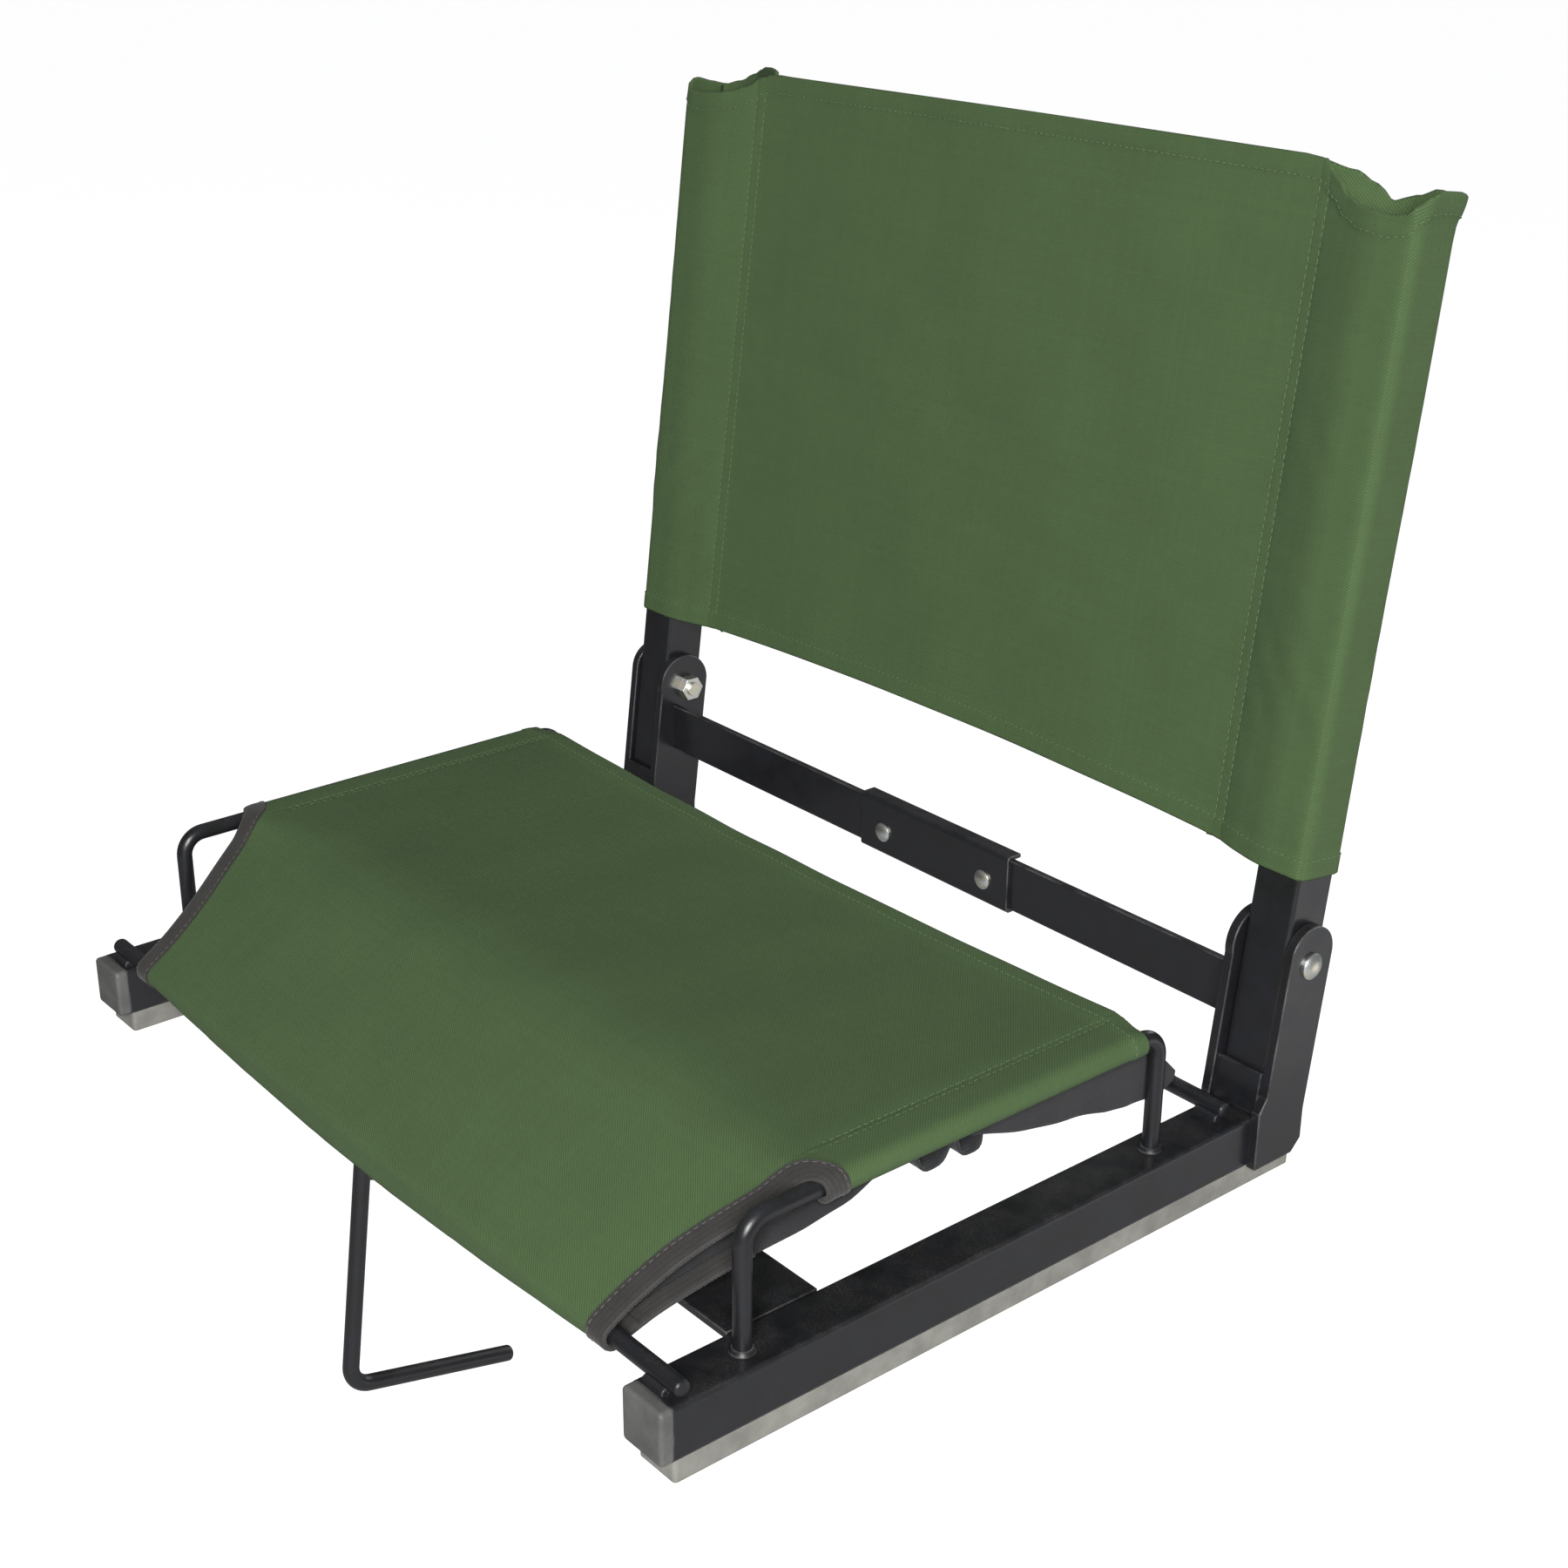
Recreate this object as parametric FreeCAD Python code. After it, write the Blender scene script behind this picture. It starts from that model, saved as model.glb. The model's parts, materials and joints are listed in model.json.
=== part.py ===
import FreeCAD, Part
import math
import os
from FreeCAD import Vector as V

# Folding stadium seat. Millimetres, +X to the sitter's left as seen from the front,
# +Y to the back, +Z up. The origin is the middle of the bench top that the seat rests on.

# Rails: two square tubes on rubber grip strips
TUBE = 25.4
TUBE_WALL = 1.6
TUBE_CORNER = 2.0
RAIL_X = 232.3
RAIL_FRONT = -185.0
RAIL_REAR = 180.0
STRIP_THICK = 11.0
STRIP_WIDTH = 23.4
STRIP_FRONT = -184.0
STRIP_REAR = 182.5
RAIL_BOTTOM = STRIP_THICK
RAIL_TOP = RAIL_BOTTOM + TUBE
RAIL_IN = RAIL_X - TUBE / 2
RAIL_OUT = RAIL_X + TUBE / 2
CAP_FACE = 6.0
REAR_PLUG_FACE = 1.5
PLUG_DEPTH = 14.0
PLUG_GAP = 0.15

# Round steel rod for the cross rods, the seat wires and the bench hook
ROD_R = 4.0
FRONT_ROD_Y = -177.5
FRONT_ROD_HALF = 242.0
REAR_ROD_Y = 141.0
REAR_ROD_HALF = 237.5
ROD_Z = RAIL_TOP + ROD_R

# Flat cross plate between the rails
PLATE_FRONT = -139.0
PLATE_REAR = -91.5
PLATE_THICK = 3.2

# Seat wires, one bridge on each rail
WIRE_FRONT = -141.0
WIRE_REAR = 95.5
WIRE_Z = 95.5
WIRE_BEND = 11.0

# Backrest pivot and recline
PIVOT_Y = 177.0
PIVOT_Z = 109.0
RECLINE = 7.2
SIDE_PLATE = 4.8
ARM_HALF = 14.5
INNER_ARM_FRONT = 18.0
ARM_TOP = 4.5
ARM_FOOT_FRONT = 150.0
ARM_FOOT_REAR = 182.0
BOLT_R = 3.97
BOLT_HOLE_R = 4.05
BOLT_HEAD_R = 6.4
BOLT_HEAD_H = 3.8
NUT_FLATS = 12.7
NUT_H = 6.0
BOLT_TAIL = 2.0

# Back tubes
BACK_WIDTH = 24.4
BACK_FOOT = -64.0
BACK_HEAD = 329.0
BACK_PLUG_FACE = 2.0
BUSH_R = 6.0
BUSH_BORE_R = 4.02
BUSH_FLANGE_R = 8.5
BUSH_FLANGE_H = 0.45
BUSH_LENGTH = 5.0
STOP_TOP = -53.0
STOP_FOOT = -73.9
STOP_THICK = 3.0
STOP_GAP = 0.15

# Back cross bar in two halves with a splice channel
BAR_Y = 167.0
BAR_THICK = 3.2
BAR_BOTTOM = 72.0
BAR_TOP = 99.0
SPLICE_X = 11.5
SPLICE_LENGTH = 112.0
SPLICE_THICK = 2.0
SPLICE_REAR = 174.0
SPLICE_GAP = 0.15
RIVET_PITCH = 76.5
RIVET_Z = 83.0
RIVET_HEAD_R = 5.2
RIVET_HEAD_H = 2.6
RIVET_SHANK_R = 3.0

# Back canvas, measured along the back tubes from the pivot
CLOTH = 1.4
BACK_CLOTH_FOOT = 42.5
BACK_CLOTH_HEAD = 352.0
BACK_ARCH = 5.5
BACK_SLACK = 0.3
BACK_STITCH_X = 189.0
BACK_STITCH_T = -3.7
MOUTH_DIP = 11.0
MOUTH_TIP = 4.5

# Seat canvas
SEAT_REAR = 86.0
SEAT_MOUTH = -101.0
SEAT_FRONT_HALF = 202.5
SEAT_MID_HALF = 211.0
SEAT_MID_Y = -142.0
SEAT_SIDE_HALF = 227.0
SCALLOP_REAR = -114.0
SLOPE_START = -98.0
SLOPE_BEND = 30.0
SLEEVE_R = 5.55
SLEEVE_STITCH_X = 213.0
FRONT_WRAP_R = 5.6
WRAP_TAIL = 10.0
NOTCH_HALF = 13.0
BINDING_WIDTH = 11.0
BINDING_THICK = 0.7
MOUTH_BAND = 10.5

# Cloth and webbing below the seat
UNDER_GAP = 1.7
UNDER_REAR = -68.0
UNDER_SIDE_HALF = 234.0
UNDER_SCALLOP_REAR = -104.0
UNDER_LEVEL_Y = -100.0
UNDER_BINDING = 8.0
FLAP_X = 227.0
FLAP_FRONT = -6.0
FLAP_FRONT_Z = 79.0
FLAP_TAIL = [(99.0, 84.0), (107.0, 75.5), (117.5, 64.0), (112.0, 59.0), (103.5, 57.5)]
STRAP_FRONT = -7.0
STRAP_WIDTH = 25.0
STRAP_THICK = 1.5
STRAP_Z = 83.5
BUCKLE_X = 171.0
TAIL_X = 205.0
TAIL_WIDTH = 18.0

# Bench hook, hung on a pin under the front rod
HOOK_PIN_Y = -169.0
HOOK_PIN_Z = 24.0
HOOK_PIN_R = 3.0
HOOK_EYE_GAP = 0.05
HOOK_LEG = 118.5
HOOK_LEG_LEAN = 7.5
HOOK_FOOT = 92.0
HOOK_FOOT_DROP = 14.0
HOOK_BEND = 12.0
EAR_THICK = 2.5
EAR_GAP = 0.35
EAR_FOOT_R = 5.2

X_AXIS = V(1, 0, 0)
Y_AXIS = V(0, 1, 0)
Z_AXIS = V(0, 0, 1)


def box(x0, x1, y0, y1, z0, z1):
    return Part.makeBox(x1 - x0, y1 - y0, z1 - z0, V(x0, y0, z0))


def rounded(shape, axis, radius, keep=lambda point: True):
    """Round the edges of a shape that run along an axis."""
    chosen = []
    for edge in shape.Edges:
        along = edge.Vertexes[-1].Point - edge.Vertexes[0].Point
        if along.Length > 1e-6 and abs(along.normalize().dot(axis)) > 0.999:
            if keep(edge.CenterOfMass):
                chosen.append(edge)
    return shape.makeFillet(radius, chosen)


def mirrored(shape):
    return shape.mirror(V(0, 0, 0), X_AXIS)


def rod_along(points, radius, bend):
    """Sweep a round rod along straight runs joined by bends of one radius."""
    edges = []
    start = points[0]
    for corner, after in zip(points[1:-1], points[2:]):
        into = (corner - start).normalize()
        out = (after - corner).normalize()
        turn = math.acos(max(-1.0, min(1.0, into.dot(out))))
        cut = bend * math.tan(turn / 2)
        first = corner - into * cut
        last = corner + out * cut
        inward = (out - into).normalize()
        centre = corner + inward * (bend / math.cos(turn / 2))
        middle = centre - inward * bend
        edges.append(Part.LineSegment(start, first).toShape())
        edges.append(Part.Arc(first, middle, last).toShape())
        start = last
    edges.append(Part.LineSegment(start, points[-1]).toShape())
    path = Part.Wire(edges)
    ring = Part.makeCircle(radius, points[0], points[1] - points[0])
    return path.makePipeShell([Part.Wire([ring])], True, True)


def side_line(points, offset):
    """Shift a polyline sideways in its plane, corner by corner. Points are (u, v) pairs."""
    shifted = []
    count = len(points)
    for i in range(count):
        if i == 0 or i == count - 1:
            a, b = (points[0], points[1]) if i == 0 else (points[-2], points[-1])
            length = math.hypot(b[0] - a[0], b[1] - a[1])
            normal = (-(b[1] - a[1]) / length, (b[0] - a[0]) / length)
            shifted.append((points[i][0] + normal[0] * offset, points[i][1] + normal[1] * offset))
            continue
        p, q, r = points[i - 1], points[i], points[i + 1]
        first = math.atan2(q[1] - p[1], q[0] - p[0])
        second = math.atan2(r[1] - q[1], r[0] - q[0])
        half = math.remainder(second - first, 2 * math.pi) / 2
        aim = first + half + math.pi / 2
        reach = offset / math.cos(half)
        shifted.append((q[0] + reach * math.cos(aim), q[1] + reach * math.sin(aim)))
    return shifted


def bent_edges(points, radii, offset, place):
    """Lines and tangent arcs through a polyline shifted by an offset."""
    line = side_line(points, offset)
    edges = []
    start = line[0]
    for i in range(1, len(line) - 1):
        p, q, r = points[i - 1], points[i], points[i + 1]
        first = math.atan2(q[1] - p[1], q[0] - p[0])
        second = math.atan2(r[1] - q[1], r[0] - q[0])
        turn = math.remainder(second - first, 2 * math.pi)
        radius = radii[i - 1] - offset * math.copysign(1, turn)
        cut = radius * math.tan(abs(turn) / 2)
        corner = line[i]
        a = (corner[0] - cut * math.cos(first), corner[1] - cut * math.sin(first))
        b = (corner[0] + cut * math.cos(second), corner[1] + cut * math.sin(second))
        if math.hypot(a[0] - start[0], a[1] - start[1]) > 1e-6:
            edges.append(Part.LineSegment(place(*start), place(*a)).toShape())
        if radius > 1e-6:
            aim = first + turn / 2 + math.copysign(math.pi / 2, turn)
            centre_reach = radius / math.cos(turn / 2)
            centre = (corner[0] + centre_reach * math.cos(aim),
                      corner[1] + centre_reach * math.sin(aim))
            middle = (centre[0] - radius * math.cos(aim), centre[1] - radius * math.sin(aim))
            edges.append(Part.Arc(place(*a), place(*middle), place(*b)).toShape())
        start = b
    edges.append(Part.LineSegment(place(*start), place(*line[-1])).toShape())
    return edges


def ribbon(points, radii, thick, place, sweep):
    """A strip of even thickness bent along a polyline and extruded by a vector."""
    left = bent_edges(points, radii, thick / 2, place)
    right = bent_edges(points, radii, -thick / 2, place)
    ends = []
    for i in (0, -1):
        a = side_line(points, thick / 2)[i]
        b = side_line(points, -thick / 2)[i]
        ends.append(Part.LineSegment(place(*a), place(*b)).toShape())
    outline = Part.Wire(Part.__sortEdges__(left + right + ends))
    return Part.Face(outline).extrude(sweep)


def in_yz(x):
    return lambda y, z: V(x, y, z)


def in_xz(y):
    return lambda x, z: V(x, y, z)


def plate_yz(points, x0, x1):
    """A flat plate from an outline of (y, z) corners."""
    corners = [V(x0, y, z) for y, z in points]
    return Part.Face(Part.makePolygon(corners + corners[:1])).extrude(V(x1 - x0, 0, 0))


def lean_back(shape):
    """Bring a shape from the backrest's own frame, pivot at the origin, to its place."""
    leant = shape.copy()
    leant.rotate(V(0, 0, 0), X_AXIS, -RECLINE)
    leant.translate(V(0, PIVOT_Y, PIVOT_Z))
    return leant


def cylinder_x(x0, x1, radius, y=0.0, z=0.0):
    return Part.makeCylinder(radius, x1 - x0, V(x0, y, z), X_AXIS)


def dome(radius, height, base, axis):
    """A rivet head: a straight rim under a rounded crown, turned about its axis."""
    rim = height * 0.35
    rise = height - rim
    ball = (radius * radius + rise * rise) / (2 * rise)
    half = math.asin(radius / ball) / 2
    crown = base + axis * (height - ball)
    edge = base + Z_AXIS * radius
    middle = crown + axis * (ball * math.cos(half)) + Z_AXIS * (ball * math.sin(half))
    outline = Part.makePolygon([base + axis * height, base, edge, edge + axis * rim]).Edges
    outline.append(Part.Arc(edge + axis * rim, middle, base + axis * height).toShape())
    return Part.Face(Part.Wire(outline)).revolve(base, axis, 360)


# Rails, caps, plugs and grip strips
def rail():
    outer = box(RAIL_IN, RAIL_OUT, RAIL_FRONT, RAIL_REAR, RAIL_BOTTOM, RAIL_TOP)
    inner = box(RAIL_IN + TUBE_WALL, RAIL_OUT - TUBE_WALL, RAIL_FRONT, RAIL_REAR,
                RAIL_BOTTOM + TUBE_WALL, RAIL_TOP - TUBE_WALL)
    return rounded(outer, Y_AXIS, TUBE_CORNER).cut(inner)


def rail_plug(face, start, direction):
    """A square plastic plug: a face block outside the rail and a tongue inside it."""
    outside = start + direction * face
    inside = start - direction * PLUG_DEPTH
    block = box(RAIL_IN, RAIL_OUT, min(start, outside), max(start, outside), RAIL_BOTTOM, RAIL_TOP)
    block = rounded(block, Y_AXIS, 2.4)
    front_edges = [edge for edge in block.Edges
                   if all(abs(vertex.Y - outside) < 1e-6 for vertex in edge.Vertexes)]
    block = block.makeFillet(min(1.8, face * 0.5), front_edges)
    gap = TUBE_WALL + PLUG_GAP
    tongue = box(RAIL_IN + gap, RAIL_OUT - gap, min(start, inside), max(start, inside),
                 RAIL_BOTTOM + gap, RAIL_TOP - gap)
    hollow = box(RAIL_IN + gap + 2, RAIL_OUT - gap - 2, min(start, inside) - 1, max(start, inside),
                 RAIL_BOTTOM + gap + 2, RAIL_TOP - gap - 2)
    if direction > 0:
        hollow.translate(V(0, -1, 0))
    else:
        hollow.translate(V(0, 2, 0))
    return block.fuse(tongue.cut(hollow)).removeSplitter()


def grip_strip():
    half = STRIP_WIDTH / 2
    strip = box(RAIL_X - half, RAIL_X + half, STRIP_FRONT, STRIP_REAR, 0, STRIP_THICK)
    strip = rounded(strip, Z_AXIS, 2.0)
    return rounded(strip, Y_AXIS, 0.8, lambda point: point.z < 1)


# Cross rods, cross plate and seat wires
def cross_rod(y, half):
    rod = cylinder_x(-half, half, ROD_R, y, ROD_Z)
    return rod.makeFillet(1.4, [edge for edge in rod.Edges if abs(abs(edge.CenterOfMass.x) - half) < 1e-6])


def cross_plate():
    return box(-RAIL_IN, RAIL_IN, PLATE_FRONT, PLATE_REAR, RAIL_TOP - PLATE_THICK, RAIL_TOP)


def seat_wire():
    return rod_along([V(RAIL_X, WIRE_FRONT, RAIL_TOP), V(RAIL_X, WIRE_FRONT, WIRE_Z),
                      V(RAIL_X, WIRE_REAR, WIRE_Z), V(RAIL_X, WIRE_REAR, RAIL_TOP)], ROD_R, WIRE_BEND)


# Pivot brackets, stops and fasteners
def arm_point(across, along):
    """A point of the reclined arm in (y, z), from the pivot."""
    lean = math.radians(RECLINE)
    return (PIVOT_Y + across * math.cos(lean) + along * math.sin(lean),
            PIVOT_Z - across * math.sin(lean) + along * math.cos(lean))


def bracket_plate(x0, front=ARM_HALF):
    """One side plate: foot on the rail's side, arm leaning back, round head about the pivot."""
    front_low = arm_point(-front, -64)
    front_high = arm_point(-front, ARM_TOP + (ARM_HALF - front) * 2)
    crest = arm_point((ARM_HALF - front) / 3, ARM_TOP + ARM_HALF)
    rear_high = arm_point(ARM_HALF, ARM_TOP)
    rear_low = arm_point(ARM_HALF, -74)
    line = [(ARM_FOOT_FRONT, RAIL_BOTTOM), (ARM_FOOT_FRONT, RAIL_TOP + 4), front_low, front_high]
    tail = [rear_high, rear_low, (ARM_FOOT_REAR, RAIL_TOP - 4), (ARM_FOOT_REAR, RAIL_BOTTOM + 6),
            (ARM_FOOT_REAR - 6, RAIL_BOTTOM), (ARM_FOOT_FRONT, RAIL_BOTTOM)]
    edges = [Part.LineSegment(V(x0, *a), V(x0, *b)).toShape() for a, b in zip(line, line[1:])]
    edges.append(Part.Arc(V(x0, *front_high), V(x0, *crest), V(x0, *rear_high)).toShape())
    edges += [Part.LineSegment(V(x0, *a), V(x0, *b)).toShape() for a, b in zip(tail, tail[1:])]
    plate = Part.Face(Part.Wire(edges)).extrude(V(SIDE_PLATE, 0, 0))
    return plate.cut(cylinder_x(x0 - 1, x0 + SIDE_PLATE + 1, BOLT_HOLE_R, PIVOT_Y, PIVOT_Z))


def back_stop():
    """Lip between the side plates that the back tube's foot leans against."""
    rear = -TUBE / 2 - STOP_GAP
    lip = box(RAIL_IN, RAIL_OUT, rear - STOP_THICK, rear, STOP_FOOT, STOP_TOP)
    return lean_back(rounded(lip, X_AXIS, 1.0, lambda point: point.z > STOP_TOP - 1))


def pivot_bolt():
    head = RAIL_OUT + SIDE_PLATE
    tail = RAIL_IN - SIDE_PLATE - NUT_H - BOLT_TAIL
    shank = cylinder_x(tail, head, BOLT_R, PIVOT_Y, PIVOT_Z)
    cap = dome(BOLT_HEAD_R, BOLT_HEAD_H, V(head, PIVOT_Y, PIVOT_Z), X_AXIS)
    return shank.fuse(cap).removeSplitter()


def pivot_nut():
    inner = RAIL_IN - SIDE_PLATE
    corner = NUT_FLATS / math.sqrt(3)
    points = [V(inner - NUT_H, PIVOT_Y + corner * math.cos(math.radians(60 * i)),
                PIVOT_Z + corner * math.sin(math.radians(60 * i))) for i in range(7)]
    nut = Part.Face(Part.makePolygon(points)).extrude(V(NUT_H, 0, 0))
    return nut.cut(cylinder_x(inner - NUT_H - 1, inner + 1, BOLT_HOLE_R, PIVOT_Y, PIVOT_Z))


# Back cross bar
def crossbar_half(side):
    gap = 0.5
    end = RAIL_IN - SIDE_PLATE
    x0, x1 = (-end, SPLICE_X - gap / 2) if side < 0 else (SPLICE_X + gap / 2, end)
    bar = box(x0, x1, BAR_Y, BAR_Y + BAR_THICK, BAR_BOTTOM, BAR_TOP)
    for x in rivet_places():
        if x0 < x < x1:
            bar = bar.cut(Part.makeCylinder(RIVET_SHANK_R + 0.05, 20, V(x, BAR_Y - 5, RIVET_Z), Y_AXIS))
    return bar


def rivet_places():
    return (SPLICE_X - RIVET_PITCH / 2, SPLICE_X + RIVET_PITCH / 2)


def splice_channel():
    front = BAR_Y - SPLICE_THICK / 2
    low = BAR_BOTTOM - SPLICE_GAP - SPLICE_THICK / 2
    high = BAR_TOP + SPLICE_GAP + SPLICE_THICK / 2
    path = [(SPLICE_REAR, low), (front, low), (front, high), (SPLICE_REAR, high)]
    start = SPLICE_X - SPLICE_LENGTH / 2
    channel = ribbon(path, [1.15, 1.15], SPLICE_THICK, in_yz(start), V(SPLICE_LENGTH, 0, 0))
    for x in rivet_places():
        channel = channel.cut(Part.makeCylinder(RIVET_SHANK_R + 0.05, 10, V(x, BAR_Y - 6, RIVET_Z), Y_AXIS))
    return channel


def splice_rivets():
    rivets = []
    face = BAR_Y - SPLICE_THICK
    rear = BAR_Y + BAR_THICK
    for x in rivet_places():
        shank = Part.makeCylinder(RIVET_SHANK_R, rear - face, V(x, face, RIVET_Z), Y_AXIS)
        front_head = dome(RIVET_HEAD_R, RIVET_HEAD_H, V(x, face, RIVET_Z), V(0, -1, 0))
        rear_head = dome(RIVET_HEAD_R - 0.7, RIVET_HEAD_H - 0.6, V(x, rear, RIVET_Z), Y_AXIS)
        rivets.append(shank.fuse([front_head, rear_head]).removeSplitter())
    return rivets


# Backrest tubes, plugs and bushes, drawn upright about the pivot
def back_tube():
    half = BACK_WIDTH / 2
    outer = box(RAIL_X - half, RAIL_X + half, -TUBE / 2, TUBE / 2, BACK_FOOT, BACK_HEAD)
    inner = box(RAIL_X - half + TUBE_WALL, RAIL_X + half - TUBE_WALL, -TUBE / 2 + TUBE_WALL,
                TUBE / 2 - TUBE_WALL, BACK_FOOT, BACK_HEAD)
    bore = cylinder_x(RAIL_X - half - 1, RAIL_X + half + 1, BUSH_R + 0.05)
    return lean_back(rounded(outer, Z_AXIS, TUBE_CORNER).cut(inner).cut(bore))


def back_plug(end, direction):
    half = BACK_WIDTH / 2
    outside = end + direction * BACK_PLUG_FACE
    inside = end - direction * PLUG_DEPTH
    face = box(RAIL_X - half, RAIL_X + half, -TUBE / 2, TUBE / 2, min(end, outside), max(end, outside))
    face = rounded(face, Z_AXIS, TUBE_CORNER)
    gap = TUBE_WALL + PLUG_GAP
    tongue = box(RAIL_X - half + gap, RAIL_X + half - gap, -TUBE / 2 + gap, TUBE / 2 - gap,
                 min(end, inside), max(end, inside))
    return lean_back(face.fuse(tongue).removeSplitter())


def pivot_bushes():
    """Flanged bushes in the tube's two walls, running on the bolt."""
    bushes = []
    for side in (-1, 1):
        wall = RAIL_X + side * BACK_WIDTH / 2
        inside = wall - side * BUSH_LENGTH
        outside = wall + side * BUSH_FLANGE_H
        body = cylinder_x(min(wall, inside), max(wall, inside), BUSH_R)
        flange = cylinder_x(min(wall, outside), max(wall, outside), BUSH_FLANGE_R)
        bore = cylinder_x(RAIL_X - 20, RAIL_X + 20, BUSH_BORE_R)
        bushes.append(lean_back(body.fuse(flange).removeSplitter().cut(bore)))
    return bushes


def back_canvas():
    """Panel between the tubes with a sleeve round each, in one strip of cloth."""
    half = BACK_WIDTH / 2 + BACK_SLACK + CLOTH / 2
    deep = TUBE / 2 + BACK_SLACK + CLOTH / 2
    outer = RAIL_X + half
    inner = RAIL_X - half
    behind = BACK_STITCH_T + CLOTH + 0.05
    right = [(BACK_STITCH_X, BACK_STITCH_T), (inner + 1, -deep), (outer, -deep), (outer, deep),
             (inner, deep), (BACK_STITCH_X - 6, behind)]
    bends = [20.0, 8.0, 2.6, 2.6, 6.0]
    left = [(-x, t) for x, t in reversed(right)]
    points = left + right
    radii = bends[::-1] + bends
    height = BACK_CLOTH_HEAD - BACK_CLOTH_FOOT
    cloth = ribbon(points, radii, CLOTH, lambda x, t: V(x, t, BACK_CLOTH_FOOT), V(0, 0, height))
    for side in (-1, 1):
        cloth = cloth.cut(sleeve_mouth(side))
    return lean_back(cloth.cut(panel_arch()))


def upright_cut(edges):
    """Turn a closed outline in the plane behind the backrest into a block through it."""
    return Part.Face(Part.Wire(Part.__sortEdges__(edges))).extrude(V(0, 80, 0))


def sleeve_mouth(side):
    """The hollow that dips across the open top of a sleeve."""
    top = BACK_CLOTH_HEAD
    inner = V(side * (RAIL_X - 38), -40, top)
    low = V(side * (RAIL_X - 8), -40, top - MOUTH_DIP)
    tip = V(side * (RAIL_X + 18), -40, top - MOUTH_TIP)
    rim = Part.makePolygon([tip, tip + Z_AXIS * 20, inner + Z_AXIS * 20, inner])
    return upright_cut([Part.Arc(inner, low, tip).toShape()] + rim.Edges)


def panel_arch():
    """The rise of the panel's lower edge between the sleeves."""
    foot = BACK_CLOTH_FOOT
    ends = [V(side * (BACK_STITCH_X + 24), -40, foot) for side in (-1, 1)]
    rim = Part.makePolygon([ends[1], ends[1] - Z_AXIS * 5, ends[0] - Z_AXIS * 5, ends[0]])
    return upright_cut([Part.Arc(ends[0], V(0, -40, foot + BACK_ARCH), ends[1]).toShape()] + rim.Edges)


# Seat canvas
def front_profile(tail):
    """Side view of the canvas: flat top, slope to the front rod, wrap round it, tail behind."""
    top = WIRE_Z + SLEEVE_R
    run, rise = SLOPE_START - FRONT_ROD_Y, top - ROD_Z
    slope = math.atan2(rise, run) - math.asin(FRONT_WRAP_R / math.hypot(run, rise))
    nose = FRONT_ROD_Y - FRONT_WRAP_R
    upper = ROD_Z + FRONT_WRAP_R * math.tan((math.pi / 2 - slope) / 2)
    lower = ROD_Z - FRONT_WRAP_R * math.tan((math.pi / 2 + slope) / 2)
    reach = ROD_Z - lower + tail
    end = (nose + reach * math.cos(slope), lower + reach * math.sin(slope))
    return [(-40.0, top), (SLOPE_START, top), (nose, upper), (nose, lower), end], slope


def front_ribbon(thick):
    points, slope = front_profile(WRAP_TAIL)
    return ribbon(points, [SLOPE_BEND, FRONT_WRAP_R, FRONT_WRAP_R], thick, in_yz(-250), V(500, 0, 0))


def sleeve_path():
    r = SLEEVE_R
    outer = RAIL_X + r
    under, over = WIRE_Z - r, WIRE_Z + r
    return [(outer, over), (outer, under), (RAIL_X - 6, under), (SLEEVE_STITCH_X, over - CLOTH - 0.05)]


def seat_cloth():
    right = sleeve_path()
    left = [(-x, z) for x, z in reversed(right)]
    bends = [SLEEVE_R - 0.1, SLEEVE_R - 0.1, 5.0]
    length = SEAT_REAR - SEAT_MOUTH
    main = ribbon(left + right, bends[::-1] + bends, CLOTH, in_xz(SEAT_MOUTH), V(0, length, 0))
    open_front = box(-SLEEVE_STITCH_X, SLEEVE_STITCH_X, SEAT_MOUTH - 1, -50, 90, 110)
    front = front_ribbon(CLOTH).common(scallop(0.0))
    return main.cut(open_front).fuse(front).removeSplitter()


def scallop(inset, side_half=SEAT_SIDE_HALF, rear=SCALLOP_REAR):
    """Upright block whose two side curves are the cut-away front corners."""
    half = side_half - inset
    tip = SEAT_FRONT_HALF - inset
    front = FRONT_ROD_Y - 12
    outline = []
    for side in (1, -1):
        curve = [V(side * half, rear, 0), V(side * (SEAT_MID_HALF - inset), SEAT_MID_Y, 0),
                 V(side * tip, front, 0)]
        outline.append(Part.Arc(*curve).toShape())
        outline.append(Part.LineSegment(V(side * half, rear, 0), V(side * half, 0, 0)).toShape())
    outline.append(Part.LineSegment(V(tip, front, 0), V(-tip, front, 0)).toShape())
    outline.append(Part.LineSegment(V(half, 0, 0), V(-half, 0, 0)).toShape())
    return Part.Face(Part.Wire(Part.__sortEdges__(outline))).extrude(V(0, 0, 140))


def hook_notch(rear):
    """Room for the hook's hanger behind the front hem."""
    return box(-NOTCH_HALF, NOTCH_HALF, FRONT_ROD_Y - 0.5, rear, 0, ROD_Z - 0.5)


def seat_canvas():
    return seat_cloth().cut(hook_notch(FRONT_ROD_Y + 30))


def edge_tape(layer, reach, width, *curve):
    """Folded tape over the cut-away edge of a layer, on both its faces."""
    band = scallop(-BINDING_THICK, *curve).cut(scallop(width, *curve))
    right_front = box(0, 260, -200, reach, 0, 140)
    return layer.common(band).common(right_front)


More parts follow.
